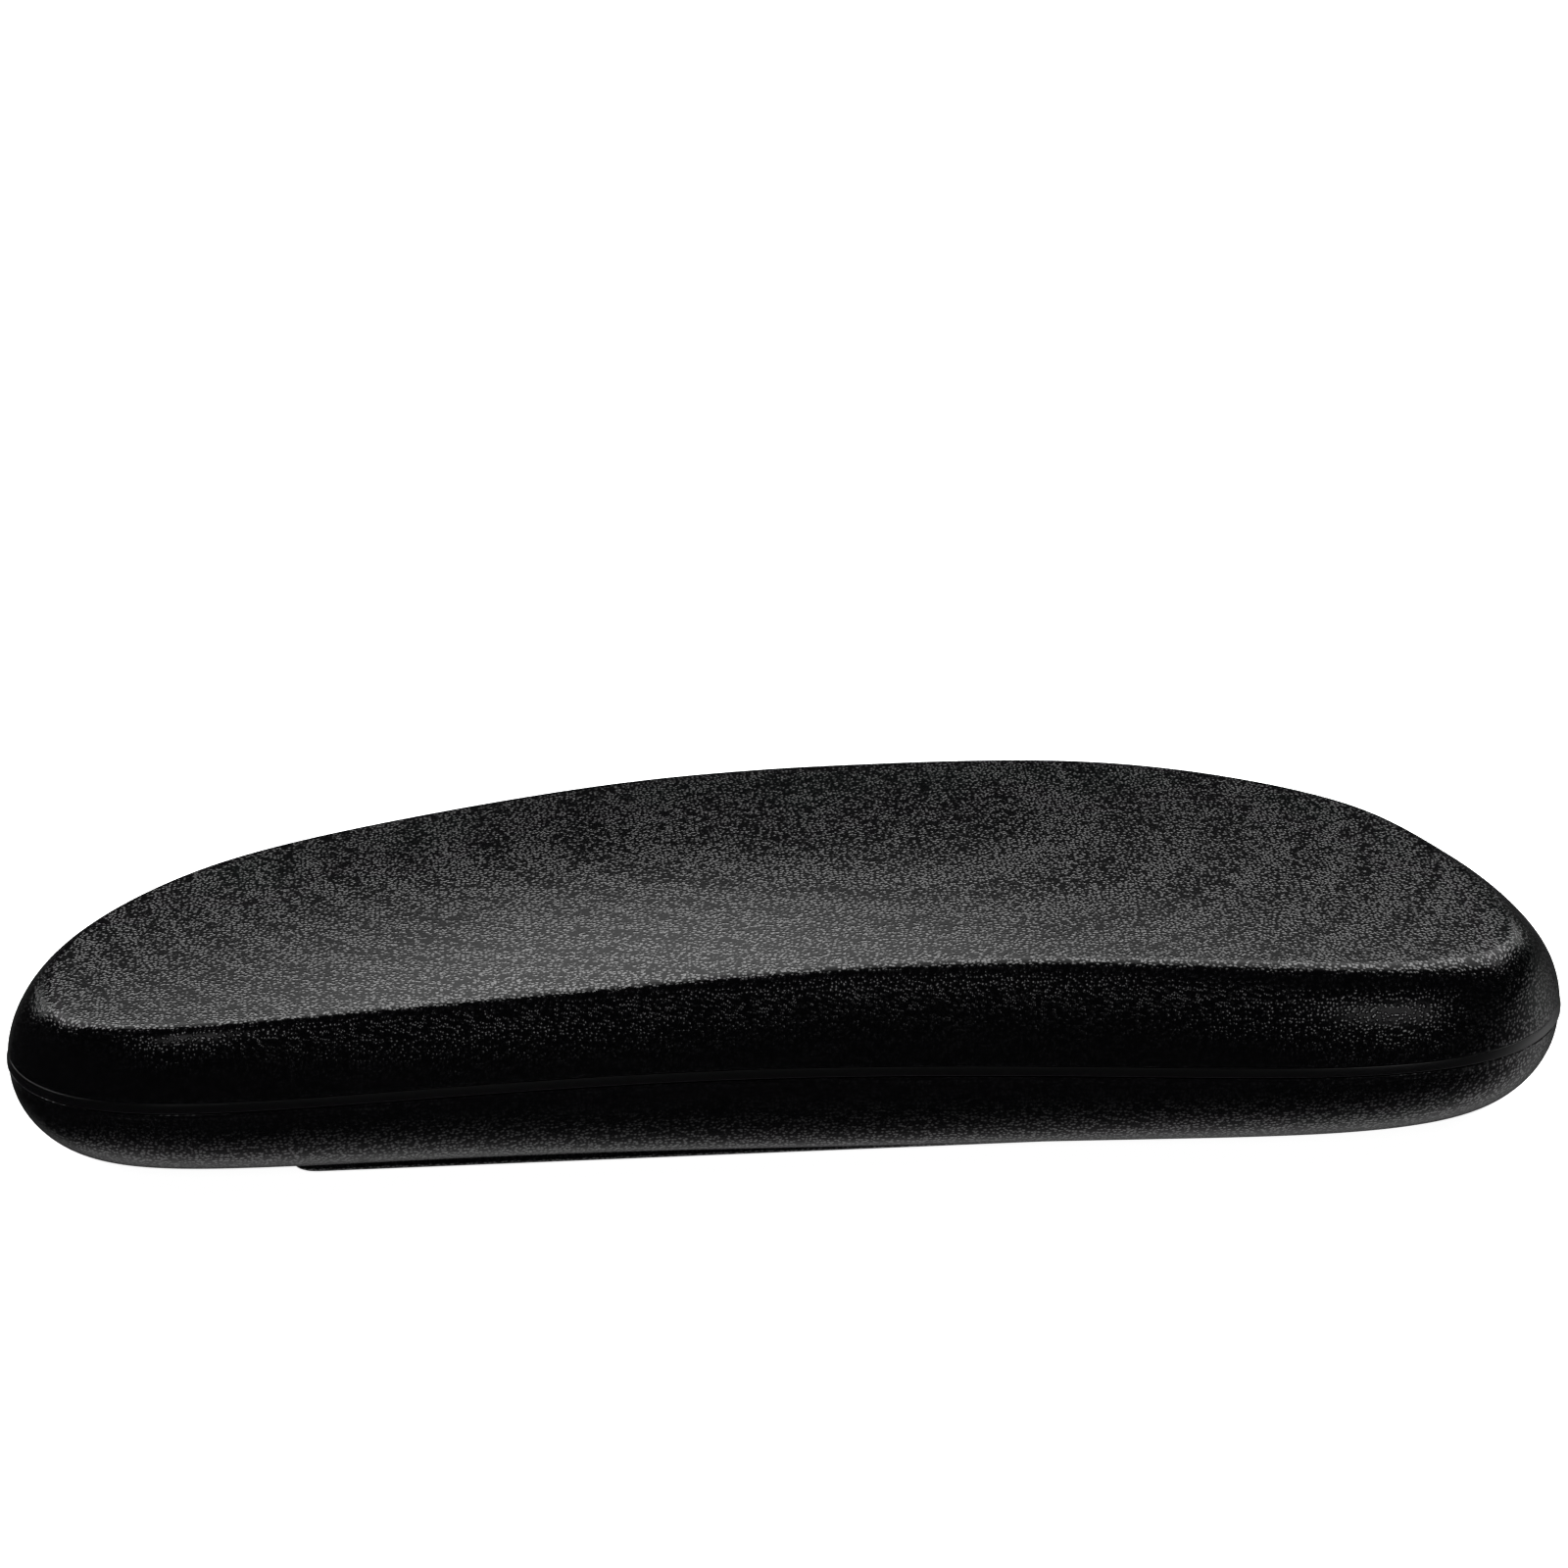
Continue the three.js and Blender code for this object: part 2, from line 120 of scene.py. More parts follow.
RECESS = SimpleNamespace(radius=3.7, ceiling=4)
POST = SimpleNamespace(radius=5.5, top=5.6)
BOSS = SimpleNamespace(radius=4, top=13.6, wall=1.2)
NUT_ROOM = 1.6
COVER_SHANK = 1.5
PLATE_SHANK = 1.8
PLATE_HEAD = 3.5
PLATE_CORNER = 6
CROSS = SimpleNamespace(width=0.8, length=3.6, depth=1.1)

PAPER_GLOW = 0.95
# Where the lit paper starts and ends, as parts of a direction's unit vector, and what is left
# of it far behind the pad.
PAPER_LIGHT = SimpleNamespace(
    front=(-0.7, 0.45), down=(0.08, -0.05), left=(-0.6, -0.25), behind=(0.1, 0.8), far=0.04
)
ROOM_GLOW = 0.01
# The graded light overhead: its foot's height, how fast it brightens upwards and at its sides.
DIFFUSER = SimpleNamespace(foot=0.48, climb=0.22, sides=34, reach=0.2, edge=(-0.1, 0.0), glow=4.2)
FLOOR_HALF = 6.0  # metres
BACKDROP = SimpleNamespace(radius=9.0, sides=32)  # metres
# Each softbox's name, place, aim, width, height and watts.
SOFTBOXES = (
    ("front_left_softbox", (-0.27, -0.92, 0.62), (-0.1, -0.03, 0.02), 0.22, 0.25, 0.75),
    ("front_right_softbox", (0.47, -0.98, 0.3), (0.1, -0.03, 0.02), 0.35, 0.22, 0.85),
    ("back_left_softbox", (-1.0, 1.0, 0.5), (0, 0, 0.02), 0.6, 0.4, 1.4),
    ("back_right_softbox", (1.0, 1.0, 0.5), (0, 0, 0.02), 0.6, 0.4, 1.4),
)

# The camera stands before the near side, a little towards the narrow end.
CAMERA = SimpleNamespace(
    place=(-0.0599, -0.68524, 0.34657), azimuth=-4.996, down=23.101, lens=100, sensor=36
)


def low(node):
    """Lowest corner of a CAD node, in millimetres."""
    return np.array(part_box(node)[0]) / MM


def high(node):
    """Highest corner of a CAD node, in millimetres."""
    return np.array(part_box(node)[1]) / MM


def nodes_of(stem):
    """Names of the CAD nodes of one kind, in order."""
    return sorted(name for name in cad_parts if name.startswith(stem + "_"))


def centres(stem):
    """Plan positions of like CAD nodes, in millimetres."""
    return [((low(name) + high(name)) / 2)[:2] for name in nodes_of(stem)]


NUTS = nodes_of("weld_nut")
PLATE_SCREWS = nodes_of("plate_screw")
COVER_SCREWS = nodes_of("cover_screw")
MOUNT_PLACES = centres("weld_nut")
PLATE_SCREW_PLACES = centres("plate_screw")
COVER_SCREW_PLACES = centres("cover_screw")

BAND_TOP = low("top_skin")[2]
RIM_TOP = BAND_TOP - SEAM_GAP
SEAM_Z = high("lower_shell")[2] + SEAM_GAP
LIP_BOTTOM = SEAM_Z - LIP_DROP
TRAY_Z = low("carrier_tray")[2]
TRAY_FLOOR = TRAY_Z + WALL
SHELL_FLOOR = BELLY.z + WALL
PLATE_Z = low("mount_plate")[2]
PLATE_TOP = high("mount_plate")[2]
TRAY_DEPTH = WALL + TRAY_CLEARANCE
FOAM_DEPTH = TRAY_DEPTH + WALL + FOAM_GAP
NUT_Z = low(NUTS[0])[2]
NUT_TOP = high(NUTS[0])[2]
NUT_FLAT = (high(NUTS[0])[1] - low(NUTS[0])[1]) / 2
NUT_CORNER = (high(NUTS[0])[0] - low(NUTS[0])[0]) / 2
POCKET = SimpleNamespace(radius=NUT_CORNER + FOAM_GAP, top=NUT_TOP + NUT_ROOM)
DOME = SimpleNamespace(radius=POCKET.radius + WALL, top=POCKET.top + WALL)


# ---------------------------------------------------------------- what a user may change


def linear(hex_colour):
    """An sRGB hex colour as the linear red, green, blue and alpha that Blender works in."""
    parts = [int(hex_colour[i : i + 2], 16) / 255 for i in (0, 2, 4)]
    return [p / 12.92 if p <= 0.04045 else ((p + 0.055) / 1.055) ** 2.4 for p in parts] + [1.0]


def colour(name, description, hex_colour):
    return FloatVectorProperty(
        name=name,
        description=description,
        default=linear(hex_colour),
        subtype="COLOR",
        size=4,
        min=0,
        max=1,
    )


def length(name, description, default_mm, low_mm=0.0, high_mm=50.0):
    return FloatProperty(
        name=name,
        description=description,
        default=default_mm * MM,
        min=low_mm * MM,
        max=high_mm * MM,
        subtype="DISTANCE",
        unit="LENGTH",
        precision=4,
    )


class ArmrestPadSizes(bpy.types.PropertyGroup):
    """Sizes of the pad's details."""

    grain_pitch: length("Grain pitch", "Distance between the pebbles of the grain", 0.64, 0.2, 3)
    grain_height: length("Grain height", "Height of a pebble above its valley", 0.036, 0, 0.5)
    shadow_gap: length(
        "Shadow gap", "Gap shown between the skin, the rim and the lower shell", 0.1, 0.02, 0.3
    )
    edge_round: length("Edge round", "Rounding of the moulded edges along the seam", 0.2, 0.05, 0.5)
    swell: length(
        "Foam unevenness", "How far the foamed cover strays from its drawn shape", 0.05, 0, 0.5
    )
    mouth_chamfer: length("Hole chamfer", "Chamfer at the mouths of holes and pockets", 0.4, 0, 1)
    nut_pitch: length("Nut thread pitch", "Pitch of the thread in the weld nuts", 1.0, 0.5, 2)
    screw_pitch: length("Screw thread pitch", "Pitch of the thread-forming screws", 1.3, 0.5, 2)
    stations_per_span: IntProperty(
        name="Stations per span",
        description="Steps of the mesh along each of the seam's sixteen spans",
        default=24,
        min=4,
        max=48,
    )


class ArmrestPadColours(bpy.types.PropertyGroup):
    """Colours of the pad's materials and of the studio."""

    skin: colour("Skin", "Polyurethane skin over the foam", "050506")
    shell: colour("Lower shell", "Grained polypropylene of the lower shell", "050506")
    rim: colour("Rim", "Smooth polypropylene of the tray", "030304")
    foam: colour("Foam", "Moulded polyurethane foam", "d3c9ad")
    plate: colour("Plate", "Cold-rolled steel of the plate", "8f9296")
    zinc: colour("Zinc", "Zinc plating on nuts and plate screws", "b9bcc0")
    oxide: colour("Black oxide", "Black oxide finish of the cover screws", "1d1d20")
    paper: colour("Paper", "White paper of the studio floor", "f2f2f2")


def sizes():
    return bpy.context.scene.armrest_pad_sizes


def colours():
    return bpy.context.scene.armrest_pad_colours


# ---------------------------------------------------------------- curves and surfaces


def spline(u):
    """Points on the closed uniform cubic B-spline that the seam's controls shape."""
    first = np.floor(u).astype(int)
    t = u - first
    weights = (
        (1 - t) ** 3 / 6,
        (3 * t**3 - 6 * t**2 + 4) / 6,
        (-3 * t**3 + 3 * t**2 + 3 * t + 1) / 6,
        t**3 / 6,
    )
    count = len(SEAM_CONTROLS)
    return sum(w[:, None] * SEAM_CONTROLS[(first + k - 1) % count] for k, w in enumerate(weights))


FRAME_STATIONS = spline(np.arange(len(SEAM_CONTROLS) * 4) / 4)
SEAM_MIDDLE = (FRAME_STATIONS.min(0) + FRAME_STATIONS.max(0)) / 2


def crown_height(x, y):
    along = (x - CROWN.x) / CROWN.long
    across = (y - CROWN.y) / CROWN.wide
    crown = CROWN.z - CROWN.drop_long * along**2 - CROWN.drop_wide * across**2 + CROWN.tilt * across
    nearness = np.maximum(0, (DIP.start - y) / DIP.reach)
    return crown - DIP.z * nearness**2 * np.exp(-(((x - DIP.x) / DIP.spread) ** 2))


def smoothstep(x):
    x = np.clip(x, 0, 1)
    return x * x * (3 - 2 * x)


def make_stations(per_span):
    """Stations along the seam: where each is, which way is out, and its two side curves.

    A side curve is a cubic Bezier in (inset from the seam, height) that runs upwards.
    """
    u = np.arange(len(SEAM_CONTROLS) * per_span) / per_span
    step = 0.01
    along = spline(u + step) - spline(u - step)
    along /= np.linalg.norm(along, axis=1)[:, None]
    out = np.stack([along[:, 1], -along[:, 0]], 1)
    at = spline(u) - SEAM_MIDDLE

    near = smoothstep(-out[:, 1])
    far = smoothstep(out[:, 1])
    hollow = near * np.exp(-(((at[:, 0] - HOLLOW.x) / HOLLOW.spread) ** 2))
    broad = (1 + out[:, 0]) / 2
    end_inset = INSET.narrow_end * (1 - broad) + (INSET.broad_end + INSET.turn * out[:, 1]) * broad
    near_inset = INSET.near + INSET.near_taper * np.clip(at[:, 0] / TAPER_REACH, -1, 1)
    inset = end_inset * (1 - near - far) + INSET.far * far + near_inset * near
    lean = LEAN.far * (1 - near) + LEAN.near * near

    def height_at(depth):
        inner = at - out * depth[:, None]
        return crown_height(inner[:, 0], inner[:, 1])

    top = height_at(inset)
    rise = height_at(inset + 1) - top
    side = UPPER_PULL.side * (top - BAND_TOP)
    flat = UPPER_PULL.top * inset
    zero = np.zeros_like(inset)
    upper = np.stack(
        [
            np.stack([zero, zero + BAND_TOP], 1),
            np.stack([side * np.sin(lean), BAND_TOP + side * np.cos(lean)], 1),
            np.stack([inset - flat, top - rise * flat], 1),
            np.stack([inset, top], 1),
        ],
        1,
    )
    belly = BELLY.inset - BELLY.hollow * hollow
    depth = LIP_BOTTOM - BELLY.z
    lower = np.stack(
        [
            np.stack([belly, zero + BELLY.z], 1),
            np.stack([belly * (1 - BELLY.bottom_pull), zero + BELLY.z], 1),
            np.stack([zero, zero + LIP_BOTTOM - BELLY.side_pull * depth], 1),
            np.stack([zero, zero + LIP_BOTTOM], 1),
        ],
        1,
    )
    return SimpleNamespace(at=at, out=out, upper=upper, lower=lower, count=len(u))


def ring(stations, inset, z):
    """A ring of points, one per station, at an inset from the seam and a height."""
    inset = np.broadcast_to(np.asarray(inset, float), (stations.count,))
    z = np.broadcast_to(np.asarray(z, float), (stations.count,))
    plan = stations.at - stations.out * inset[:, None]
    return np.column_stack([plan, z])


def side_ring(stations, curves, t, depth=0.0, floor=0.0):
    """The ring at share t up the side curves, at a depth inside them and never under a floor."""
    a, b, c, d = (curves[:, k] for k in range(4))
    spot = a * (1 - t) ** 3 + 3 * b * t * (1 - t) ** 2 + 3 * c * t**2 * (1 - t) + d * t**3
    along = 3 * (b - a) * (1 - t) ** 2 + 6 * (c - b) * t * (1 - t) + 3 * (d - c) * t**2
    along /= np.linalg.norm(along, axis=1)[:, None]
    inset = spot[:, 0] + depth * along[:, 1]
    return ring(stations, inset, np.maximum(spot[:, 1] - depth * along[:, 0], floor))


def side_rings(stations, curves, shares, depth=0.0, floor=0.0):
    return [side_ring(stations, curves, t, depth, floor) for t in shares]


def crown_rings(shoulder, depth, count):
    """Rings inside the shoulder, smaller and smaller, down to the pole that they close on."""
    pole = shoulder.mean(0)
    rings = [shoulder + (pole - shoulder) * share for share in np.linspace(0, 1, count + 1)[1:]]
    for points in rings:
        points[:, 2] = crown_height(points[:, 0], points[:, 1]) - depth
    return rings[:-1], rings[-1][0]


def new_piece(name, points, faces):
    """An object with a smooth-shaded mesh, from points in millimetres."""
    mesh = bpy.data.meshes.new(name)
    mesh.from_pydata((np.asarray(points) * MM).tolist(), [], faces)
    mesh.validate()
    mesh.shade_smooth()
    piece = bpy.data.objects.new(name, mesh)
    bpy.context.scene.collection.objects.link(piece)
    return piece


def loft(name, rings, first=None, last=None, looped=False):
    """A closed body through rings of points that run upwards, or round a loop and back.

    An end closes on its pole, or with one flat face where it has none.
    """
    count = len(rings[0])
    points = [p for points in rings for p in points]
    faces = []
    steps = len(rings) if looped else len(rings) - 1
    for k in range(steps):
        here, above = k * count, (k + 1) % len(rings) * count
        for i in range(count):
            j = (i + 1) % count
            faces.append((here + i, here + j, above + j, above + i))
    top = (len(rings) - 1) * count
    if not looped:
        if first is None:
            faces.append(tuple(range(count))[::-1])
        else:
            points.append(first)
            faces += [(len(points) - 1, (i + 1) % count, i) for i in range(count)]
        if last is None:
            faces.append(tuple(top + i for i in range(count)))
        else:
            points.append(last)
            faces += [(len(points) - 1, top + i, top + (i + 1) % count) for i in range(count)]
    return new_piece(name, points, faces)


def circle(x, y, z, radius, sides=64):
    """A level ring of points; the radius may be one number or one for each point."""
    turn = np.arange(sides) * 2 * math.pi / sides
    along, across = x + radius * np.cos(turn), y + radius * np.sin(turn)
    return np.column_stack([along, across, np.full(sides, z)])


def turned(name, x, y, profile, sides=64):
    """A turned body from a profile of (radius, height) that runs upwards."""
    return loft(name, [circle(x, y, z, radius, sides) for radius, z in profile])


def straight(name, x, y, radius, bottom, top):
    """An upright cylinder, for a hole or the room round a boss."""
    return turned(name, x, y, [(radius, bottom), (radius, top)])


def joined(pieces):
    """The first of the pieces, with the others' meshes moved into it."""
    target, *others = pieces
    points = [v.co[:] for v in target.data.vertices]
    faces = [tuple(p.vertices) for p in target.data.polygons]
    for other in others:
        start = len(points)
        points += [v.co[:] for v in other.data.vertices]
        faces += [tuple(start + i for i in p.vertices) for p in other.data.polygons]
        remove(other)
    target.data.clear_geometry()
    target.data.from_pydata(points, [], faces)
    return target


def remove(piece):
    mesh = piece.data
    bpy.data.objects.remove(piece)
    bpy.data.meshes.remove(mesh)


def combine(piece, tools, operation):
    """Adds bodies to a piece or cuts them out of it, and removes them."""
    tool = joined(tools)
    modifier = piece.modifiers.new("Shape", "BOOLEAN")
    modifier.object = tool
    modifier.operation = operation
    modifier.solver = "MANIFOLD"
    bpy.context.view_layer.update()
    evaluated = piece.evaluated_get(bpy.context.evaluated_depsgraph_get())
    made = bpy.data.meshes.new_from_object(evaluated)
    if len(made.vertices) in (0, len(piece.data.vertices)):
        raise RuntimeError(f"{piece.name}: the boolean {operation.lower()} changed nothing")
    piece.modifiers.remove(modifier)
    old, piece.data = piece.data, made
    bpy.data.meshes.remove(old)
    remove(tool)
    return piece


def finished(piece, material, node, sharp=35):
    """Gives a piece its material and its place in the frame."""
    piece.data.materials.clear()
    piece.data.materials.append(material)
    piece.data.shade_smooth()
    piece.data.set_sharp_from_angle(angle=math.radians(sharp))
    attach(piece, BODY)
    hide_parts(node)
    return piece


def rounded_outline(corners, steps=8):
    """A closed outline with each corner rounded by its own radius."""
    points = []
    for i, (x, y, radius) in enumerate(corners):
        corner = np.array([x, y], float)
        before = np.array(corners[i - 1][:2]) - corner
        after = np.array(corners[(i + 1) % len(corners)][:2]) - corner
        start = corner + before / np.linalg.norm(before) * radius
        end = corner + after / np.linalg.norm(after) * radius
        for t in np.linspace(0, 1, steps + 1):
            points.append(start * (1 - t) ** 2 + 2 * corner * t * (1 - t) + end * t**2)
    return np.array(points)


def inwards(outline, distance):
    """The outline moved inwards, square to itself."""
    along = np.roll(outline, -1, 0) - np.roll(outline, 1, 0)
    along /= np.linalg.norm(along, axis=1)[:, None]
    return outline + distance * np.column_stack([-along[:, 1], along[:, 0]])


def slab(name, outline, bottom, top, bottom_round, top_round=0.0, steps=4):
    """A flat body with rounded lower and upper edges."""
    rings = []
    for z, radius, sign in ((bottom, bottom_round, 1), (top, top_round, -1)):
        arc = np.linspace(0, math.pi / 2, steps + 1) if radius else [math.pi / 2]
        arc_rings = [
            np.column_stack(
                [
                    inwards(outline, radius * (1 - math.sin(a))),
                    np.full(len(outline), z + sign * radius * (1 - math.cos(a))),
                ]
            )
            for a in arc
        ]
        rings += arc_rings if sign == 1 else arc_rings[::-1]
    return loft(name, rings)


def uneven(piece, amount_mm, wave_mm):
    """Moves the surface in and out a little, as moulded foam and its shrinking skin do."""
    mesh = piece.data
    normals = [v.normal.copy() for v in mesh.vertices]
    for vertex, normal in zip(mesh.vertices, normals):
        vertex.co += normal * (amount_mm * MM * noise.noise(vertex.co / (wave_mm * MM)))


# ---------------------------------------------------------------- materials


VALLEY_SHINE, PEBBLE_SHINE = 0.08, 0.75  # specular level; 0.5 is a bare flat surface
PEEL = SimpleNamespace(width=1.2, depth=0.006)  # ripples of a polished moulding, in millimetres
PORE = SimpleNamespace(width=0.5, depth=0.2)  # the foam's pores, in millimetres
PAPER_FIBRE = 4  # millimetres

# Where a colour Mix node keeps its two colours and its result.
MIX_LOW, MIX_HIGH, MIX_RESULT = 6, 7, 2


def new_material(name):
    material = bpy.data.materials.new(name)
    material.use_nodes = True
    material.node_tree.nodes.clear()
    return material, material.node_tree


def add(tree, kind, inputs=None, **settings):
    """Adds a node with its settings. An input is a value, or another node's socket to link from."""
    made = tree.nodes.new(kind)
    for name, value in settings.items():
        setattr(made, name, value)
    for name, value in (inputs or {}).items():
        if isinstance(value, bpy.types.NodeSocket):
            tree.links.new(value, made.inputs[name])
        else:
            made.inputs[name].default_value = value
    return made


def leather_grain(tree):
    """Pebble grain as etched into the moulds.

    Gives the place on the object, and the grain's height there, 0 in a valley and 1 on a pebble.
    """
    place = add(tree, "ShaderNodeTexCoord").outputs["Object"]
    pitch = sizes().grain_pitch
    drift = add(
        tree,
        "ShaderNodeTexNoise",
        {"Vector": place, "Scale": 1 / (4 * pitch), "Detail": 1.0},
    ).outputs["Color"]
    centred = add(
        tree, "ShaderNodeVectorMath", {0: drift, 1: (0.5, 0.5, 0.5)}, operation="SUBTRACT"
    ).outputs["Vector"]
    moved = add(
        tree,
        "ShaderNodeVectorMath",
        {0: centred, 1: (1.2 * pitch,) * 3, 2: place},
        operation="MULTIPLY_ADD",
    ).outputs["Vector"]
    pebbles = add(
        tree,
        "ShaderNodeTexVoronoi",
        {"Vector": moved, "Scale": 1 / pitch, "Randomness": 0.75, "Smoothness": 0.25},
        feature="SMOOTH_F1",
    ).outputs["Distance"]
    dome = add(
        tree,
        "ShaderNodeMapRange",
        {"Value": pebbles, "From Min": 0.12, "From Max": 0.62, "To Min": 1.0, "To Max": 0.0},
        interpolation_type="SMOOTHSTEP",
    ).outputs["Result"]
    return place, dome


def shade(rgba, factor):
    return [c * factor for c in rgba[:3]] + [1.0]


def grained(name, tint, roughness, lip=None):
    """A black moulded surface with etched leather grain, smooth above its lip if it has one."""
    material, tree = new_material(name)
    place, dome = leather_grain(tree)
    strength = 1.0
    if lip is not None:
        height = add(tree, "ShaderNodeSeparateXYZ", {0: place}).outputs["Z"]
        strength = add(
            tree, "ShaderNodeMath", {0: height, 1: lip * MM}, operation="LESS_THAN"
        ).outputs["Value"]
    # Painted shade of the grain: the colour is darker in the valleys and lighter on the pebble
    # tops.
    base = add(
        tree,
        "ShaderNodeMix",
        {0: dome, MIX_LOW: shade(tint, 0.55), MIX_HIGH: shade(tint, 1.15)},
        data_type="RGBA",
    ).outputs[MIX_RESULT]
    bump = add(
        tree,
        "ShaderNodeBump",
        {"Height": dome, "Distance": sizes().grain_height, "Strength": strength},
    ).outputs["Normal"]
    handling = add(
        tree, "ShaderNodeTexNoise", {"Vector": place, "Scale": 1 / 0.035, "Detail": 3.0}
    ).outputs["Fac"]
    rough = add(
        tree,
        "ShaderNodeMapRange",
        {
            "Value": handling,
            "From Min": 0.3,
            "From Max": 0.7,
            "To Min": roughness - 0.015,
            "To Max": roughness + 0.015,
        },
    ).outputs["Result"]
    # Little light finds its way into the valleys, so they hardly shine.
    shine = add(
        tree,
        "ShaderNodeMapRange",
        {
            "Value": dome,
            "From Min": 0.15,
            "From Max": 0.75,
            "To Min": VALLEY_SHINE,
            "To Max": PEBBLE_SHINE,
        },
    ).outputs["Result"]
    shader = add(
        tree,
        "ShaderNodeBsdfPrincipled",
        {
            "Base Color": base,
            "Roughness": rough,
            "IOR": 1.5,
            "Specular IOR Level": shine,
            "Normal": bump,
        },
    )
    add(tree, "ShaderNodeOutputMaterial", {"Surface": shader.outputs["BSDF"]})
    return material


def smooth_polypropylene():
    """Polypropylene from a polished mould: satin, with the faint orange peel of a thin rim."""
    material, tree = new_material("smooth_polypropylene")
    place = add(tree, "ShaderNodeTexCoord").outputs["Object"]
    peel = add(
        tree,
        "ShaderNodeTexNoise",
        {"Vector": place, "Scale": 1 / (PEEL.width * MM), "Detail": 2.0},
    )
    bump = add(
        tree,
        "ShaderNodeBump",
        {"Height": peel.outputs["Fac"], "Distance": PEEL.depth * MM, "Strength": 1.0},
    )
    cloud = add(tree, "ShaderNodeTexNoise", {"Vector": place, "Scale": 1 / 0.02})
    tint = colours().rim
    base = add(
        tree,
        "ShaderNodeMix",
        {0: cloud.outputs["Fac"], MIX_LOW: shade(tint, 0.85), MIX_HIGH: shade(tint, 1.15)},
        data_type="RGBA",
    ).outputs[MIX_RESULT]
    shader = add(
        tree,
        "ShaderNodeBsdfPrincipled",
        {"Base Color": base, "Roughness": 0.32, "IOR": 1.49, "Normal": bump.outputs["Normal"]},
    )
    add(tree, "ShaderNodeOutputMaterial", {"Surface": shader.outputs["BSDF"]})
    return material


def polyurethane_foam():
    """Cold-cured moulded foam: matt, a little yellow, with pores 0.5 mm wide."""
    material, tree = new_material("polyurethane_foam")
    place = add(tree, "ShaderNodeTexCoord").outputs["Object"]
    pores = add(
        tree, "ShaderNodeTexVoronoi", {"Vector": place, "Scale": 1 / (PORE.width * MM)}
    ).outputs["Distance"]
    bump = add(
        tree, "ShaderNodeBump", {"Height": pores, "Distance": PORE.depth * MM, "Strength": 0.8}
    )
    # Painted shade in the pores: the colour is darker in their pits, in step with the bump's depth.
    base = add(
        tree,
        "ShaderNodeMix",
        {0: pores, MIX_LOW: shade(colours().foam, 0.8), MIX_HIGH: shade(colours().foam, 1.05)},
        data_type="RGBA",
    ).outputs[MIX_RESULT]
    shader = add(
        tree,
        "ShaderNodeBsdfPrincipled",
        {"Base Color": base, "Roughness": 0.95, "IOR": 1.45, "Normal": bump.outputs["Normal"]},
    )
    add(tree, "ShaderNodeOutputMaterial", {"Surface": shader.outputs["BSDF"]})
    return material


def metal(name, tint, roughness, grain_mm, stretch, depth_mm):
    """A bare or plated metal with a directional or even fine grain."""
    material, tree = new_material(name)
    place = add(tree, "ShaderNodeTexCoord").outputs["Object"]
    drawn = add(
        tree, "ShaderNodeVectorMath", {0: place, 1: (1 / stretch, 1.0, 1.0)}, operation="MULTIPLY"
    ).outputs["Vector"]
    grain = add(
        tree, "ShaderNodeTexNoise", {"Vector": drawn, "Scale": 1 / (grain_mm * MM), "Detail": 3.0}
    ).outputs["Fac"]
    bump = add(
        tree, "ShaderNodeBump", {"Height": grain, "Distance": depth_mm * MM, "Strength": 1.0}
    )
    rough = add(
        tree,
        "ShaderNodeMapRange",
        {
            "Value": grain,
            "From Min": 0.3,
            "From Max": 0.7,
            "To Min": roughness - 0.06,
            "To Max": roughness + 0.06,
        },
    ).outputs["Result"]
    base = add(
        tree,
        "ShaderNodeMix",
        {0: grain, MIX_LOW: shade(tint, 0.85), MIX_HIGH: shade(tint, 1.05)},
        data_type="RGBA",
    ).outputs[MIX_RESULT]
    shader = add(
        tree,
        "ShaderNodeBsdfPrincipled",
        {
            "Base Color": base,
            "Metallic": 1.0,
            "Roughness": rough,
            "Normal": bump.outputs["Normal"],
        },
    )
    add(tree, "ShaderNodeOutputMaterial", {"Surface": shader.outputs["BSDF"]})
    return material


# ---------------------------------------------------------------- pieces


def cover_piece(stations):
    """The grained cover: its outer side and crown, a rounded foot, and the inside of the skin."""
    edge = sizes().edge_round / MM
    foot = RIM_TOP + sizes().shadow_gap / MM
    inner_sides = side_rings(stations, stations.upper, np.linspace(0, 1, 13), SKIN, BAND_TOP)
    ceiling, inner_pole = crown_rings(inner_sides[-1], SKIN, 16)
    outer_sides = side_rings(stations, stations.upper, np.linspace(0, 1, 41)[1:])
    face, pole = crown_rings(outer_sides[-1], 0, 36)
    foot_rings = [
        ring(stations, SKIN, foot),
        ring(stations, 2 * edge, foot),
        *(
            ring(stations, edge * (1 - math.sin(a)), foot + edge * (1 - math.cos(a)))
            for a in np.linspace(0, math.pi / 2, 5)
        ),
    ]
    inner = [*inner_sides, *ceiling][::-1]
    return loft("pad_cover", [*inner, *foot_rings, *outer_sides, *face], inner_pole, pole)


def foam_piece(stations):
    """The foam block, which fills the skin and the tray's dish and is hollowed over its domes."""
    shares = np.linspace(0, 1, 13)
    dish = side_rings(stations, stations.lower, shares, FOAM_DEPTH, TRAY_FLOOR + FOAM_GAP)
    body = side_rings(stations, stations.upper, np.linspace(0, 1, 17), SKIN + FOAM_GAP, BAND_TOP)
    face, pole = crown_rings(body[-1], SKIN + FOAM_GAP, 16)
    bottom_pole = dish[0].mean(0)
    foam = loft(
        "foam_block", [*dish, ring(stations, FOAM_DEPTH, BAND_TOP), *body, *face], bottom_pole, pole
    )
    hollows = [
        straight("dome_room", x, y, DOME.radius + FOAM_GAP, TRAY_Z, DOME.top + FOAM_GAP)
        for x, y in MOUNT_PLACES
    ]
    hollows += [
        straight("boss_room", x, y, BOSS.radius + FOAM_GAP, TRAY_Z, BOSS.top + FOAM_GAP)
        for x, y in [*PLATE_SCREW_PLACES, *COVER_SCREW_PLACES]
    ]
    return combine(foam, hollows, "DIFFERENCE")


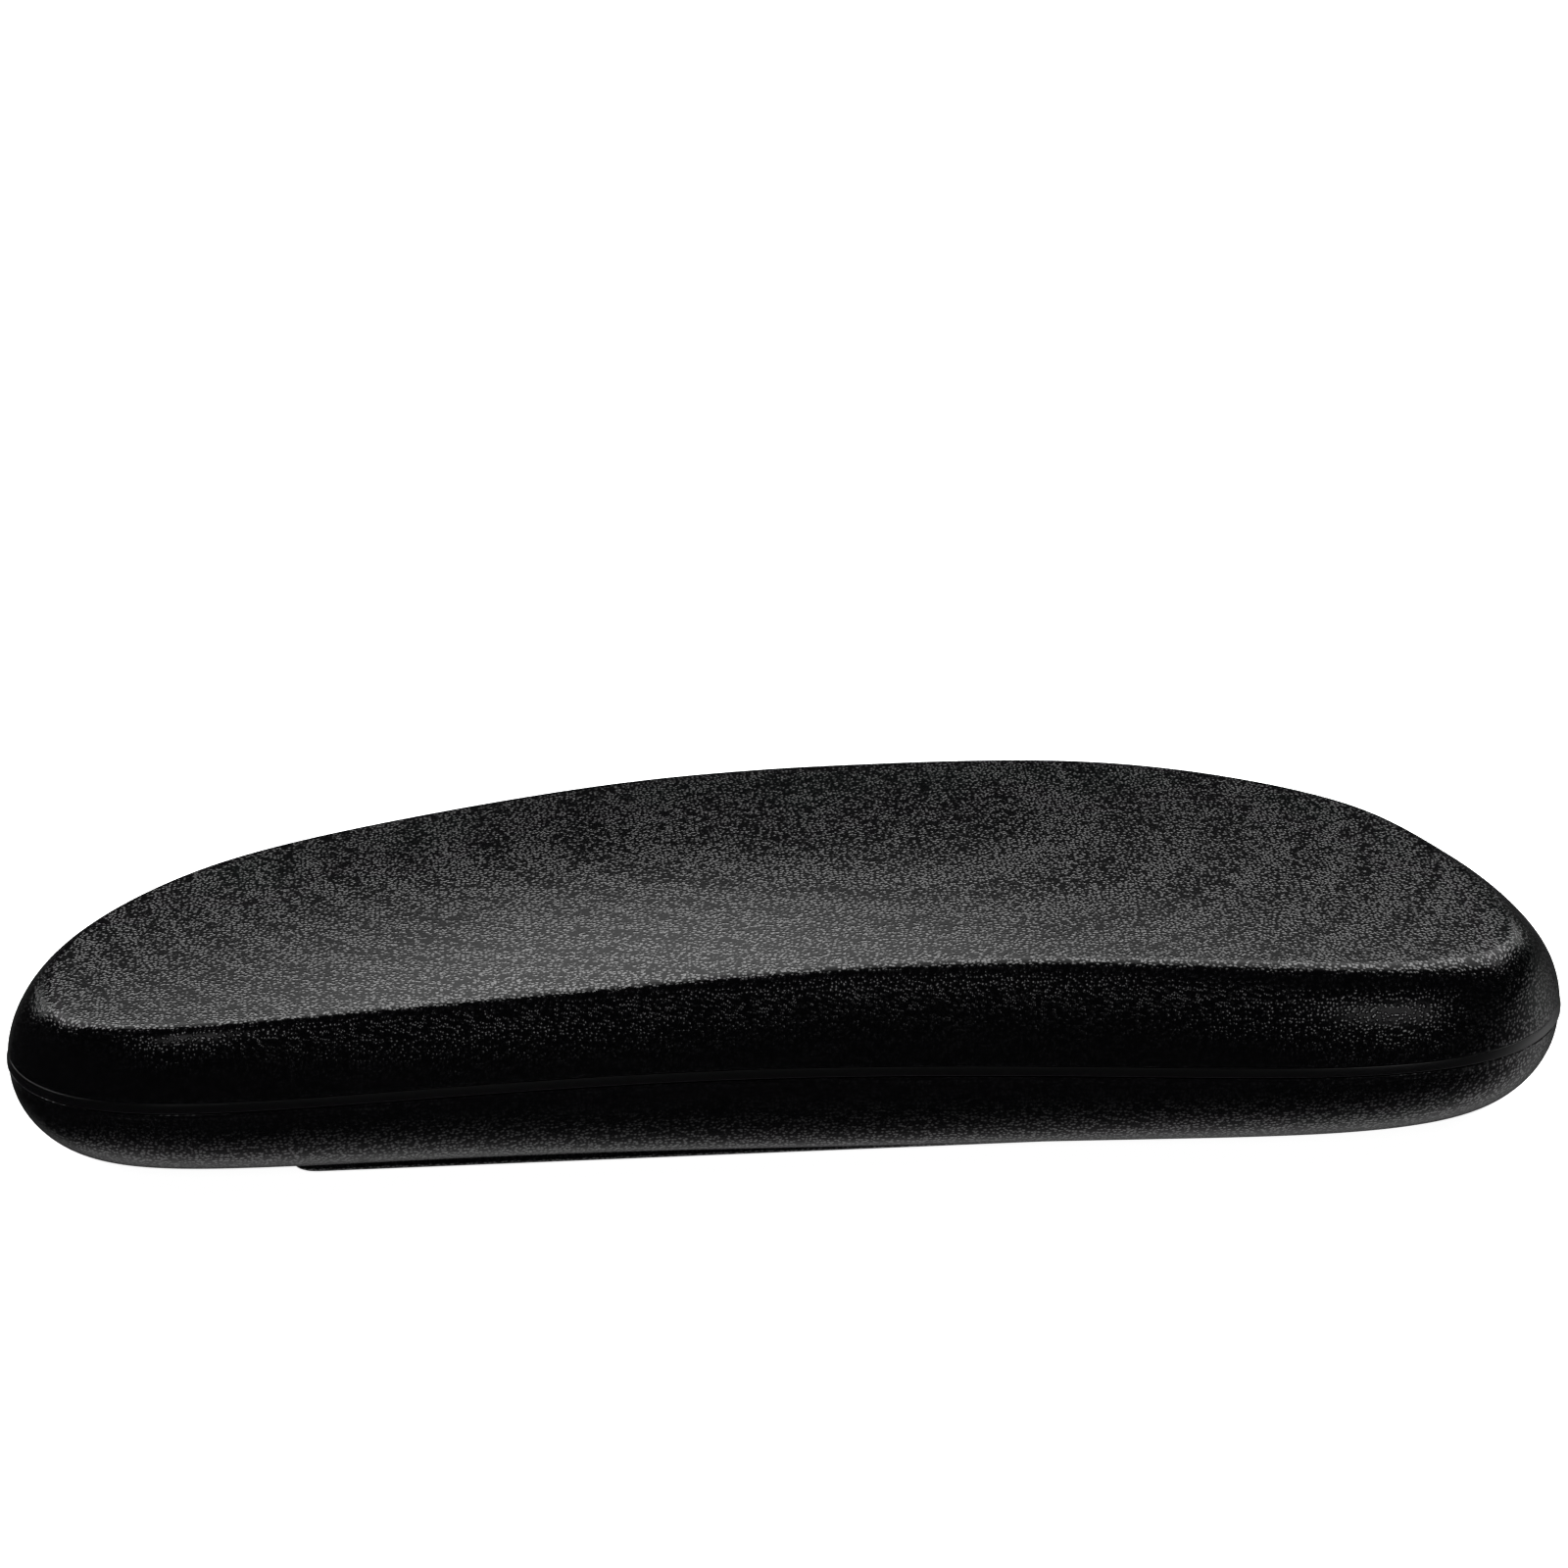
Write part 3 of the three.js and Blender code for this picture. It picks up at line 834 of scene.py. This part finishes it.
def softened_post(x, y, bottom, top, radius, soft=0.5):
    """A moulded boss with a rounded top edge."""
    profile = [(radius, bottom)]
    profile += [
        (radius - soft * (1 - math.cos(a)), top - soft * (1 - math.sin(a)))
        for a in np.linspace(0, math.pi / 2, 5)
    ]
    return turned("boss", x, y, profile)


def tray_piece(stations):
    """The rigid dish, whose smooth rim is the upper part of the band round the pad."""
    edge = sizes().edge_round / MM
    shares = np.linspace(0, 1, 13)
    outside = side_rings(stations, stations.lower, shares, TRAY_DEPTH, TRAY_Z)
    inside = side_rings(stations, stations.lower, shares, TRAY_DEPTH + WALL, TRAY_FLOOR)
    proud = -BAND_PROUD
    low_edge = [
        ring(stations, proud + edge * (1 - math.sin(a)), SEAM_Z + edge * (1 - math.cos(a)))
        for a in np.linspace(0, math.pi / 2, 5)
    ]
    high_edge = [
        ring(stations, edge * (1 - math.cos(a)), RIM_TOP - edge * (1 - math.sin(a)))
        for a in np.linspace(0, math.pi / 2, 5)
    ]
    rim = [
        ring(stations, TRAY_DEPTH, SEAM_Z),
        ring(stations, 1, SEAM_Z),
        *low_edge,
        *high_edge,
        ring(stations, 1, RIM_TOP),
        ring(stations, TRAY_DEPTH + WALL, RIM_TOP),
    ]
    low_pole, high_pole = outside[0].mean(0), inside[0].mean(0)
    tray = loft("carrier_dish", [*outside, *rim, *inside[::-1]], low_pole, high_pole)
    added = [softened_post(x, y, TRAY_Z, DOME.top, DOME.radius, 1.0) for x, y in MOUNT_PLACES]
    added += [softened_post(x, y, TRAY_Z, BOSS.top, BOSS.radius) for x, y in PLATE_SCREW_PLACES]
    added += [
        softened_post(x, y, POST.top + SEAM_GAP, BOSS.top, BOSS.radius)
        for x, y in COVER_SCREW_PLACES
    ]
    combine(tray, added, "UNION")
    pilot_top = BOSS.top - BOSS.wall
    cut = [
        straight("pocket", x, y, POCKET.radius, TRAY_Z - 1, POCKET.top) for x, y in MOUNT_PLACES
    ]
    cut += [
        straight("pilot", x, y, PLATE_SHANK + FOAM_GAP, TRAY_Z - 1, pilot_top)
        for x, y in PLATE_SCREW_PLACES
    ]
    cut += [
        straight("pilot", x, y, COVER_SHANK + FOAM_GAP, POST.top, pilot_top)
        for x, y in COVER_SCREW_PLACES
    ]
    return combine(tray, cut, "DIFFERENCE")


def plateau_outline():
    p = PLATEAU
    return rounded_outline(
        [
            (p.left, p.near - PLATEAU_FLARE, p.corner_near),
            (p.right, p.near - PLATEAU_FLARE, p.corner_near),
            (p.right, p.far_right, p.corner_far),
            (p.left, p.far_left, p.corner_far),
        ],
        12,
    )


def on_plateau(x, y):
    p = PLATEAU
    far_edge = p.far_left + (p.far_right - p.far_left) * (x - p.left) / (p.right - p.left)
    return p.left < x < p.right and p.near < y < far_edge


def lower_shell_piece(stations):
    """The grained bottom cover: bowl, smooth lip, mounting plateau, screw holes and pockets."""
    edge = sizes().edge_round / MM
    chamfer = sizes().mouth_chamfer / MM
    outside = side_rings(stations, stations.lower, np.linspace(0, 1, 33))
    inside = side_rings(stations, stations.lower, np.linspace(0, 1, 13), WALL, SHELL_FLOOR)
    lip_top = SEAM_Z - sizes().shadow_gap / MM
    high_edge = [
        ring(stations, -BAND_PROUD + edge * (1 - math.cos(a)), lip_top - edge * (1 - math.sin(a)))
        for a in np.linspace(0, math.pi / 2, 5)
    ]
    lip = [*high_edge, ring(stations, 1, lip_top), ring(stations, WALL, lip_top)]
    low_pole, high_pole = outside[0].mean(0), inside[0].mean(0)
    shell = loft("bottom_shell", [*outside, *lip, *inside[::-1]], low_pole, high_pole)
    plateau = slab("plateau", plateau_outline(), 0, (BELLY.z + SHELL_FLOOR) / 2, PLATEAU_ROUND)
    combine(shell, [plateau], "UNION")
    posts = [
        softened_post(x, y, SHELL_FLOOR - 1, POST.top, POST.radius, 0.3)
        for x, y in COVER_SCREW_PLACES
    ]
    combine(shell, posts, "UNION")
    hole = MOUNT_HOLE.shell
    cut = [
        turned("hole", x, y, [(hole + chamfer + 1, -1), (hole, chamfer), (hole, PLATE_Z)])
        for x, y in MOUNT_PLACES
    ]
    bore = COVER_SHANK + FOAM_GAP
    for x, y in COVER_SCREW_PLACES:
        mouth = 0 if on_plateau(x, y) else BELLY.z
        profile = [
            (RECESS.radius + chamfer + 1, mouth - 1),
            (RECESS.radius, mouth + chamfer),
            (RECESS.radius, RECESS.ceiling),
            (bore, RECESS.ceiling),
            (bore, POST.top + 1),
        ]
        cut.append(turned("pocket", x, y, profile))
    return combine(shell, cut, "DIFFERENCE")


def plate_piece():
    """The steel plate, with clearance holes and countersunk holes."""
    lo, hi = low("mount_plate"), high("mount_plate")
    corners = [(lo[0], lo[1]), (hi[0], lo[1]), (hi[0], hi[1]), (lo[0], hi[1])]
    outline = rounded_outline([(x, y, PLATE_CORNER) for x, y in corners])
    plate = slab("steel_plate", outline, PLATE_Z, PLATE_TOP, 0.25, 0.25, 3)
    hole = MOUNT_HOLE.plate
    cut = [straight("hole", x, y, hole, PLATE_Z - 1, PLATE_TOP + 1) for x, y in MOUNT_PLACES]
    bore, sink = PLATE_SHANK + FOAM_GAP, PLATE_HEAD + FOAM_GAP
    cone = PLATE_HEAD - PLATE_SHANK
    seat = [(sink + 1, PLATE_Z - 1), (bore, PLATE_Z + cone + FOAM_GAP), (bore, PLATE_TOP + 1)]
    cut += [turned("sink", x, y, seat) for x, y in PLATE_SCREW_PLACES]
    return combine(plate, cut, "DIFFERENCE")


def threaded(radius_at, z_low, z_high, pitch, x, y, sides=48, rows_per_pitch=8):
    """Rings whose radius follows a screw thread; radius_at takes how deep it is, 0 to 1."""
    rows = max(2, int((z_high - z_low) / pitch * rows_per_pitch))
    turn = np.arange(sides) * 2 * math.pi / sides
    rings = []
    for z in np.linspace(z_low, z_high, rows + 1):
        phase = ((z - z_low) / pitch - turn / (2 * math.pi)) % 1.0
        fade = min(1, (z - z_low) / (0.5 * pitch), (z_high - z) / (0.5 * pitch))
        depth = fade * np.clip(1 - np.abs(phase - 0.5) / 0.42, 0, 1)
        rings.append(circle(x, y, z, radius_at(depth), sides))
    return rings


def nut_piece(name, node):
    """A hexagonal weld nut with chamfered corners and a real thread in its bore."""
    x, y = ((low(node) + high(node)) / 2)[:2]
    sides = 96
    turn = np.arange(sides) * 2 * math.pi / sides
    sixth = math.pi / 3
    hexagon = NUT_FLAT / np.cos(turn % sixth - sixth / 2)
    chamfer_circle = NUT_FLAT * 0.97

    def outside(z, away):
        radius = np.minimum(hexagon, chamfer_circle + away / math.tan(math.radians(30)))
        return circle(x, y, z, radius, sides)

    low_side = [outside(NUT_Z + away, away) for away in (0, 0.12, 0.25, 0.4, 0.6)]
    high_side = [outside(NUT_TOP - away, away) for away in (0.6, 0.4, 0.25, 0.12, 0)]
    minor, major = 2.5, 3.0  # radii of the M6 thread
    mouth = 0.45
    lead_in = major + 0.15
    thread = threaded(
        lambda depth: minor + (major - minor) * depth,
        NUT_Z + mouth,
        NUT_TOP - mouth,
        sizes().nut_pitch / MM,
        x,
        y,
        sides,
        10,
    )
    top_ring, bottom_ring = (circle(x, y, z, lead_in, sides) for z in (NUT_TOP, NUT_Z))
    bore = [top_ring, *thread[::-1], bottom_ring]
    return loft(name, [*low_side, *high_side, *bore], looped=True)


def screw_piece(name, node, head_profile, shank, core):
    """A screw standing on its head, with its thread and a cross recess in the head's face."""
    x, y = ((low(node) + high(node)) / 2)[:2]
    z, end = low(node)[2], high(node)[2]
    sides = 48
    head = [circle(x, y, z + height, radius, sides) for radius, height in head_profile]
    start = z + head_profile[-1][1]
    tip = 1.6
    collar = 0.15  # the plain neck under the head
    thread = threaded(
        lambda depth: core + (shank - core) * depth,
        start + collar,
        end - tip,
        sizes().screw_pitch / MM,
        x,
        y,
        sides,
    )
    point = [
        circle(x, y, end - tip * (1 - share), core * (1 - share) ** 0.7, sides)
        for share in (0.35, 0.7, 0.93)
    ]
    neck = [circle(x, y, start, core + collar, sides)]
    screw = loft(name, [*head, *neck, *thread, *point])
    cross = [
        slab(
            "cross",
            np.array([[x - a, y - b], [x + a, y - b], [x + a, y + b], [x - a, y + b]]),
            z - 1,
            z + CROSS.depth,
            0,
        )
        for a, b in ((CROSS.width / 2, CROSS.length / 2), (CROSS.length / 2, CROSS.width / 2))
    ]
    for bar in cross:
        combine(screw, [bar], "DIFFERENCE")
    return screw


# ---------------------------------------------------------------- operators


class ARMREST_OT_cover(bpy.types.Operator):
    """Builds the grained polyurethane cover over the foam"""

    bl_idname = "armrest.cover"
    bl_label = "Build Cover"

    def execute(self, context):
        cover = cover_piece(make_stations(sizes().stations_per_span))
        uneven(cover, sizes().swell / MM, SWELL_WAVE)
        # Integral-skin polyurethane, moulded against an etched tool: satin pebbles; the valleys
        # carry painted shade, darker in colour and duller in shine.
        material = grained("leather_grained_polyurethane", colours().skin, roughness=0.17)
        finished(cover, material, "top_skin")
        return {"FINISHED"}


class ARMREST_OT_foam(bpy.types.Operator):
    """Builds the moulded foam that fills the cover and the tray's dish"""

    bl_idname = "armrest.foam"
    bl_label = "Build Foam"

    def execute(self, context):
        foam = foam_piece(make_stations(sizes().stations_per_span // 2))
        finished(foam, polyurethane_foam(), "foam_core")
        return {"FINISHED"}


class ARMREST_OT_tray(bpy.types.Operator):
    """Builds the rigid tray with the smooth rim"""

    bl_idname = "armrest.tray"
    bl_label = "Build Tray"

    def execute(self, context):
        tray = tray_piece(make_stations(sizes().stations_per_span))
        finished(tray, smooth_polypropylene(), "carrier_tray")
        return {"FINISHED"}


class ARMREST_OT_lower_shell(bpy.types.Operator):
    """Builds the grained lower shell with its mounting plateau"""

    bl_idname = "armrest.lower_shell"
    bl_label = "Build Lower Shell"

    def execute(self, context):
        shell = lower_shell_piece(make_stations(sizes().stations_per_span))
        # Polypropylene from a tool with the same grain, which stops at a crisp line under the lip.
        material = grained(
            "leather_grained_polypropylene", colours().shell, roughness=0.18, lip=LIP_BOTTOM
        )
        finished(shell, material, "lower_shell")
        return {"FINISHED"}


class ARMREST_OT_mounting(bpy.types.Operator):
    """Builds the steel plate and its weld nuts"""

    bl_idname = "armrest.mounting"
    bl_label = "Build Plate and Nuts"

    def execute(self, context):
        # Cold-rolled steel sheet: fine rolling lines along its length.
        steel = metal("cold_rolled_steel", colours().plate, 0.38, 0.15, 12, 0.01)
        finished(plate_piece(), steel, "mount_plate")
        # Zinc plating, clear passivated: a bright, very slightly mottled silver.
        zinc = metal("zinc_plated_steel", colours().zinc, 0.28, 0.4, 1, 0.004)
        for i, node in enumerate(NUTS, 1):
            finished(nut_piece(f"m6_nut_{i}", node), zinc, node)
        return {"FINISHED"}


class ARMREST_OT_screws(bpy.types.Operator):
    """Builds the screws of the plate and of the lower shell"""

    bl_idname = "armrest.screws"
    bl_label = "Build Screws"

    def execute(self, context):
        zinc = bpy.data.materials["zinc_plated_steel"]
        countersunk = [(3.35, 0), (PLATE_HEAD, 0.15), (1.5, 1.95)]
        for i, node in enumerate(PLATE_SCREWS, 1):
            screw = screw_piece(f"countersunk_screw_{i}", node, countersunk, PLATE_SHANK, 1.3)
            finished(screw, zinc, node)
        # Black oxide on steel: a thin dark finish that lets a dull metal shine through.
        oxide = metal("black_oxide_steel", colours().oxide, 0.36, 0.3, 1, 0.004)
        pan = [
            (1.9, 0), (2.5, 0.12), (2.95, 0.42), (3.2, 0.9),
            (3.3, 1.4), (3.3, 1.8), (3.2, 1.9), (1.3, 1.9),
        ]
        for i, node in enumerate(COVER_SCREWS, 1):
            screw = screw_piece(f"pan_screw_{i}", node, pan, COVER_SHANK, 1.05)
            finished(screw, oxide, node)
        return {"FINISHED"}


def area_light(name, place, aim, width, height, power):
    """A soft light of a size in metres that faces a point."""
    data = bpy.data.lights.new(name, "AREA")
    data.shape = "RECTANGLE"
    data.size, data.size_y = width, height
    data.energy = power
    light = bpy.data.objects.new(name, data)
    light.location = place
    facing = light.location - Vector(aim)
    light.rotation_euler = facing.to_track_quat("Z", "Y").to_euler()
    light.visible_camera = False
    bpy.context.scene.collection.objects.link(light)
    return light


def white_paper():
    """Matt white background paper, lit a little from below as on a light table."""
    material, tree = new_material("white_paper")
    place = add(tree, "ShaderNodeTexCoord").outputs["Object"]
    fibre = add(
        tree,
        "ShaderNodeTexNoise",
        {"Vector": place, "Scale": 1 / (PAPER_FIBRE * MM), "Detail": 4.0},
    ).outputs["Fac"]
    base = add(
        tree,
        "ShaderNodeMix",
        {0: fibre, MIX_LOW: shade(colours().paper, 0.99), MIX_HIGH: shade(colours().paper, 1.0)},
        data_type="RGBA",
    ).outputs[MIX_RESULT]
    top = add(
        tree,
        "ShaderNodeBsdfPrincipled",
        {
            "Base Color": base,
            "Roughness": 0.9,
            "Emission Color": (1, 1, 1, 1),
            "Emission Strength": PAPER_GLOW,
        },
    )
    clear = add(tree, "ShaderNodeBsdfTransparent")
    behind = add(tree, "ShaderNodeNewGeometry").outputs["Backfacing"]
    both = add(
        tree, "ShaderNodeMixShader", {0: behind, 1: top.outputs["BSDF"], 2: clear.outputs["BSDF"]}
    )
    add(tree, "ShaderNodeOutputMaterial", {"Surface": both.outputs["Shader"]})
    return material


def backdrop():
    """A pale shell round the whole studio: the eye sees it, and it lights nothing."""
    turn = np.arange(BACKDROP.sides) * 2 * math.pi / BACKDROP.sides
    radius = BACKDROP.radius / MM
    rings = [
        np.column_stack(
            [
                radius * math.cos(rise) * np.cos(turn),
                radius * math.cos(rise) * np.sin(turn),
                np.full(BACKDROP.sides, radius * math.sin(rise)),
            ]
        )
        for rise in np.radians([-75, -45, -15, 15, 45, 75])
    ]
    shell = loft("backdrop", rings, np.array([0, 0, -radius]), np.array([0, 0, radius]))
    material, tree = new_material("lit_backdrop")
    glow = add(tree, "ShaderNodeEmission", {"Color": (1, 1, 1, 1), "Strength": 1.0})
    add(tree, "ShaderNodeOutputMaterial", {"Surface": glow.outputs["Emission"]})
    shell.data.materials.append(material)
    shell.visible_diffuse = False
    shell.visible_glossy = False
    shell.visible_transmission = False
    shell.visible_shadow = False
    return shell


class ARMREST_OT_stage(bpy.types.Operator):
    """Sets up the pale floor, the soft studio lights and the camera"""

    bl_idname = "armrest.stage"
    bl_label = "Set Up Studio"

    def execute(self, context):
        scene = context.scene
        scene.view_settings.view_transform = "Standard"
        scene.view_settings.look = "None"

        half = FLOOR_HALF
        z = CAD_BOX[0].z / MM
        corners = [(-half, -half), (half, -half), (half, half), (-half, half)]
        floor = new_piece("paper_floor", [(x / MM, y / MM, z) for x, y in corners], [(0, 1, 2, 3)])
        floor.data.materials.append(white_paper())
        floor.visible_glossy = False
        backdrop()

        world = bpy.data.worlds.new("studio")
        scene.world = world
        world.use_nodes = True
        tree = world.node_tree
        tree.nodes.clear()
        way = add(tree, "ShaderNodeTexCoord").outputs["Generated"]
        parts = add(tree, "ShaderNodeSeparateXYZ", {0: way})
        # The pale sweep below and behind the pad shines; the room in front and above is dark.
        behind = add(
            tree,
            "ShaderNodeMapRange",
            {
                "Value": parts.outputs["Y"],
                "From Min": PAPER_LIGHT.front[0],
                "From Max": PAPER_LIGHT.front[1],
            },
            interpolation_type="SMOOTHSTEP",
        ).outputs["Result"]
        lowness = add(
            tree,
            "ShaderNodeMapRange",
            {
                "Value": parts.outputs["Z"],
                "From Min": PAPER_LIGHT.down[0],
                "From Max": PAPER_LIGHT.down[1],
            },
            interpolation_type="SMOOTHSTEP",
        ).outputs["Result"]
        width = add(
            tree,
            "ShaderNodeMapRange",
            {
                "Value": parts.outputs["X"],
                "From Min": PAPER_LIGHT.left[0],
                "From Max": PAPER_LIGHT.left[1],
            },
            interpolation_type="SMOOTHSTEP",
        ).outputs["Result"]
        distance = add(
            tree,
            "ShaderNodeMapRange",
            {
                "Value": parts.outputs["Y"],
                "From Min": PAPER_LIGHT.behind[0],
                "From Max": PAPER_LIGHT.behind[1],
                "To Min": 1.0,
                "To Max": PAPER_LIGHT.far,
            },
            interpolation_type="SMOOTHSTEP",
        ).outputs["Result"]
        near_paper = add(
            tree, "ShaderNodeMath", {0: behind, 1: width}, operation="MULTIPLY"
        ).outputs["Value"]
        paper = add(
            tree, "ShaderNodeMath", {0: near_paper, 1: distance}, operation="MULTIPLY"
        ).outputs["Value"]
        sweep = add(
            tree, "ShaderNodeMath", {0: paper, 1: lowness, 2: ROOM_GLOW}, operation="MULTIPLY_ADD"
        ).outputs["Value"]
        # A wide diffuser overhead, behind the pad: it brightens upwards, sooner at its two sides,
        # and ends just in front of the zenith.
        height = add(
            tree, "ShaderNodeMath", {0: parts.outputs["Z"], 1: DIFFUSER.foot}, operation="SUBTRACT"
        ).outputs["Value"]
        aside = add(
            tree,
            "ShaderNodeMapRange",
            {
                "Value": parts.outputs["X"],
                "From Min": -DIFFUSER.reach,
                "From Max": DIFFUSER.reach,
                "To Min": -DIFFUSER.reach,
                "To Max": DIFFUSER.reach,
            },
        ).outputs["Result"]
        spread = add(
            tree, "ShaderNodeMath", {0: aside, 1: aside}, operation="MULTIPLY"
        ).outputs["Value"]
        sooner = add(
            tree,
            "ShaderNodeMath",
            {0: spread, 1: DIFFUSER.sides, 2: 1.0},
            operation="MULTIPLY_ADD",
        ).outputs["Value"]
        climb = add(
            tree, "ShaderNodeMath", {0: height, 1: sooner}, operation="MULTIPLY"
        ).outputs["Value"]
        brightness = add(
            tree,
            "ShaderNodeMapRange",
            {
                "Value": climb,
                "From Min": 0.0,
                "From Max": DIFFUSER.climb,
            },
            interpolation_type="SMOOTHSTEP",
        ).outputs["Result"]
        shutter = add(
            tree,
            "ShaderNodeMapRange",
            {
                "Value": parts.outputs["Y"],
                "From Min": DIFFUSER.edge[0],
                "From Max": DIFFUSER.edge[1],
                "To Min": 0.0,
                "To Max": DIFFUSER.glow,
            },
        ).outputs["Result"]
        strength = add(
            tree, "ShaderNodeMath", {0: brightness, 1: shutter, 2: sweep}, operation="MULTIPLY_ADD"
        ).outputs["Value"]
        background = add(
            tree, "ShaderNodeBackground", {"Color": (1, 1, 1, 1), "Strength": strength}
        )
        add(tree, "ShaderNodeOutputWorld", {"Surface": background.outputs["Background"]})

        for softbox in SOFTBOXES:
            area_light(*softbox)

        data = bpy.data.cameras.new("camera")
        data.lens = CAMERA.lens
        data.sensor_width = CAMERA.sensor
        data.clip_start, data.clip_end = 0.01, 50
        camera = bpy.data.objects.new("camera", data)
        camera.location = CAMERA.place
        tilt = math.radians(90 - CAMERA.down)
        camera.rotation_euler = Euler((tilt, 0, math.radians(CAMERA.azimuth)))
        scene.collection.objects.link(camera)
        scene.camera = camera
        return {"FINISHED"}


class VIEW3D_PT_armrest_pad(bpy.types.Panel):
    """Sizes, colours and builders of the armrest pad"""

    bl_label = "Armrest Pad"
    bl_idname = "VIEW3D_PT_armrest_pad"
    bl_space_type = "VIEW_3D"
    bl_region_type = "UI"
    bl_category = "Armrest Pad"

    def draw(self, context):
        layout = self.layout
        for settings in (context.scene.armrest_pad_sizes, context.scene.armrest_pad_colours):
            box = layout.box()
            for name in settings.__annotations__:
                box.prop(settings, name)
        for operator in OPERATORS:
            layout.operator(operator.bl_idname)


OPERATORS = (
    ARMREST_OT_cover,
    ARMREST_OT_foam,
    ARMREST_OT_tray,
    ARMREST_OT_lower_shell,
    ARMREST_OT_mounting,
    ARMREST_OT_screws,
    ARMREST_OT_stage,
)
CLASSES = (ArmrestPadSizes, ArmrestPadColours, *OPERATORS, VIEW3D_PT_armrest_pad)


def register():
    for cls in CLASSES:
        bpy.utils.register_class(cls)
    bpy.types.Scene.armrest_pad_sizes = PointerProperty(type=ArmrestPadSizes)
    bpy.types.Scene.armrest_pad_colours = PointerProperty(type=ArmrestPadColours)


def unregister():
    del bpy.types.Scene.armrest_pad_colours
    del bpy.types.Scene.armrest_pad_sizes
    for cls in reversed(CLASSES):
        bpy.utils.unregister_class(cls)


def main():
    register()
    bpy.ops.armrest.cover()
    bpy.ops.armrest.foam()
    bpy.ops.armrest.tray()
    bpy.ops.armrest.lower_shell()
    bpy.ops.armrest.mounting()
    bpy.ops.armrest.screws()
    bpy.ops.armrest.stage()


if __name__ == "__main__":
    main()
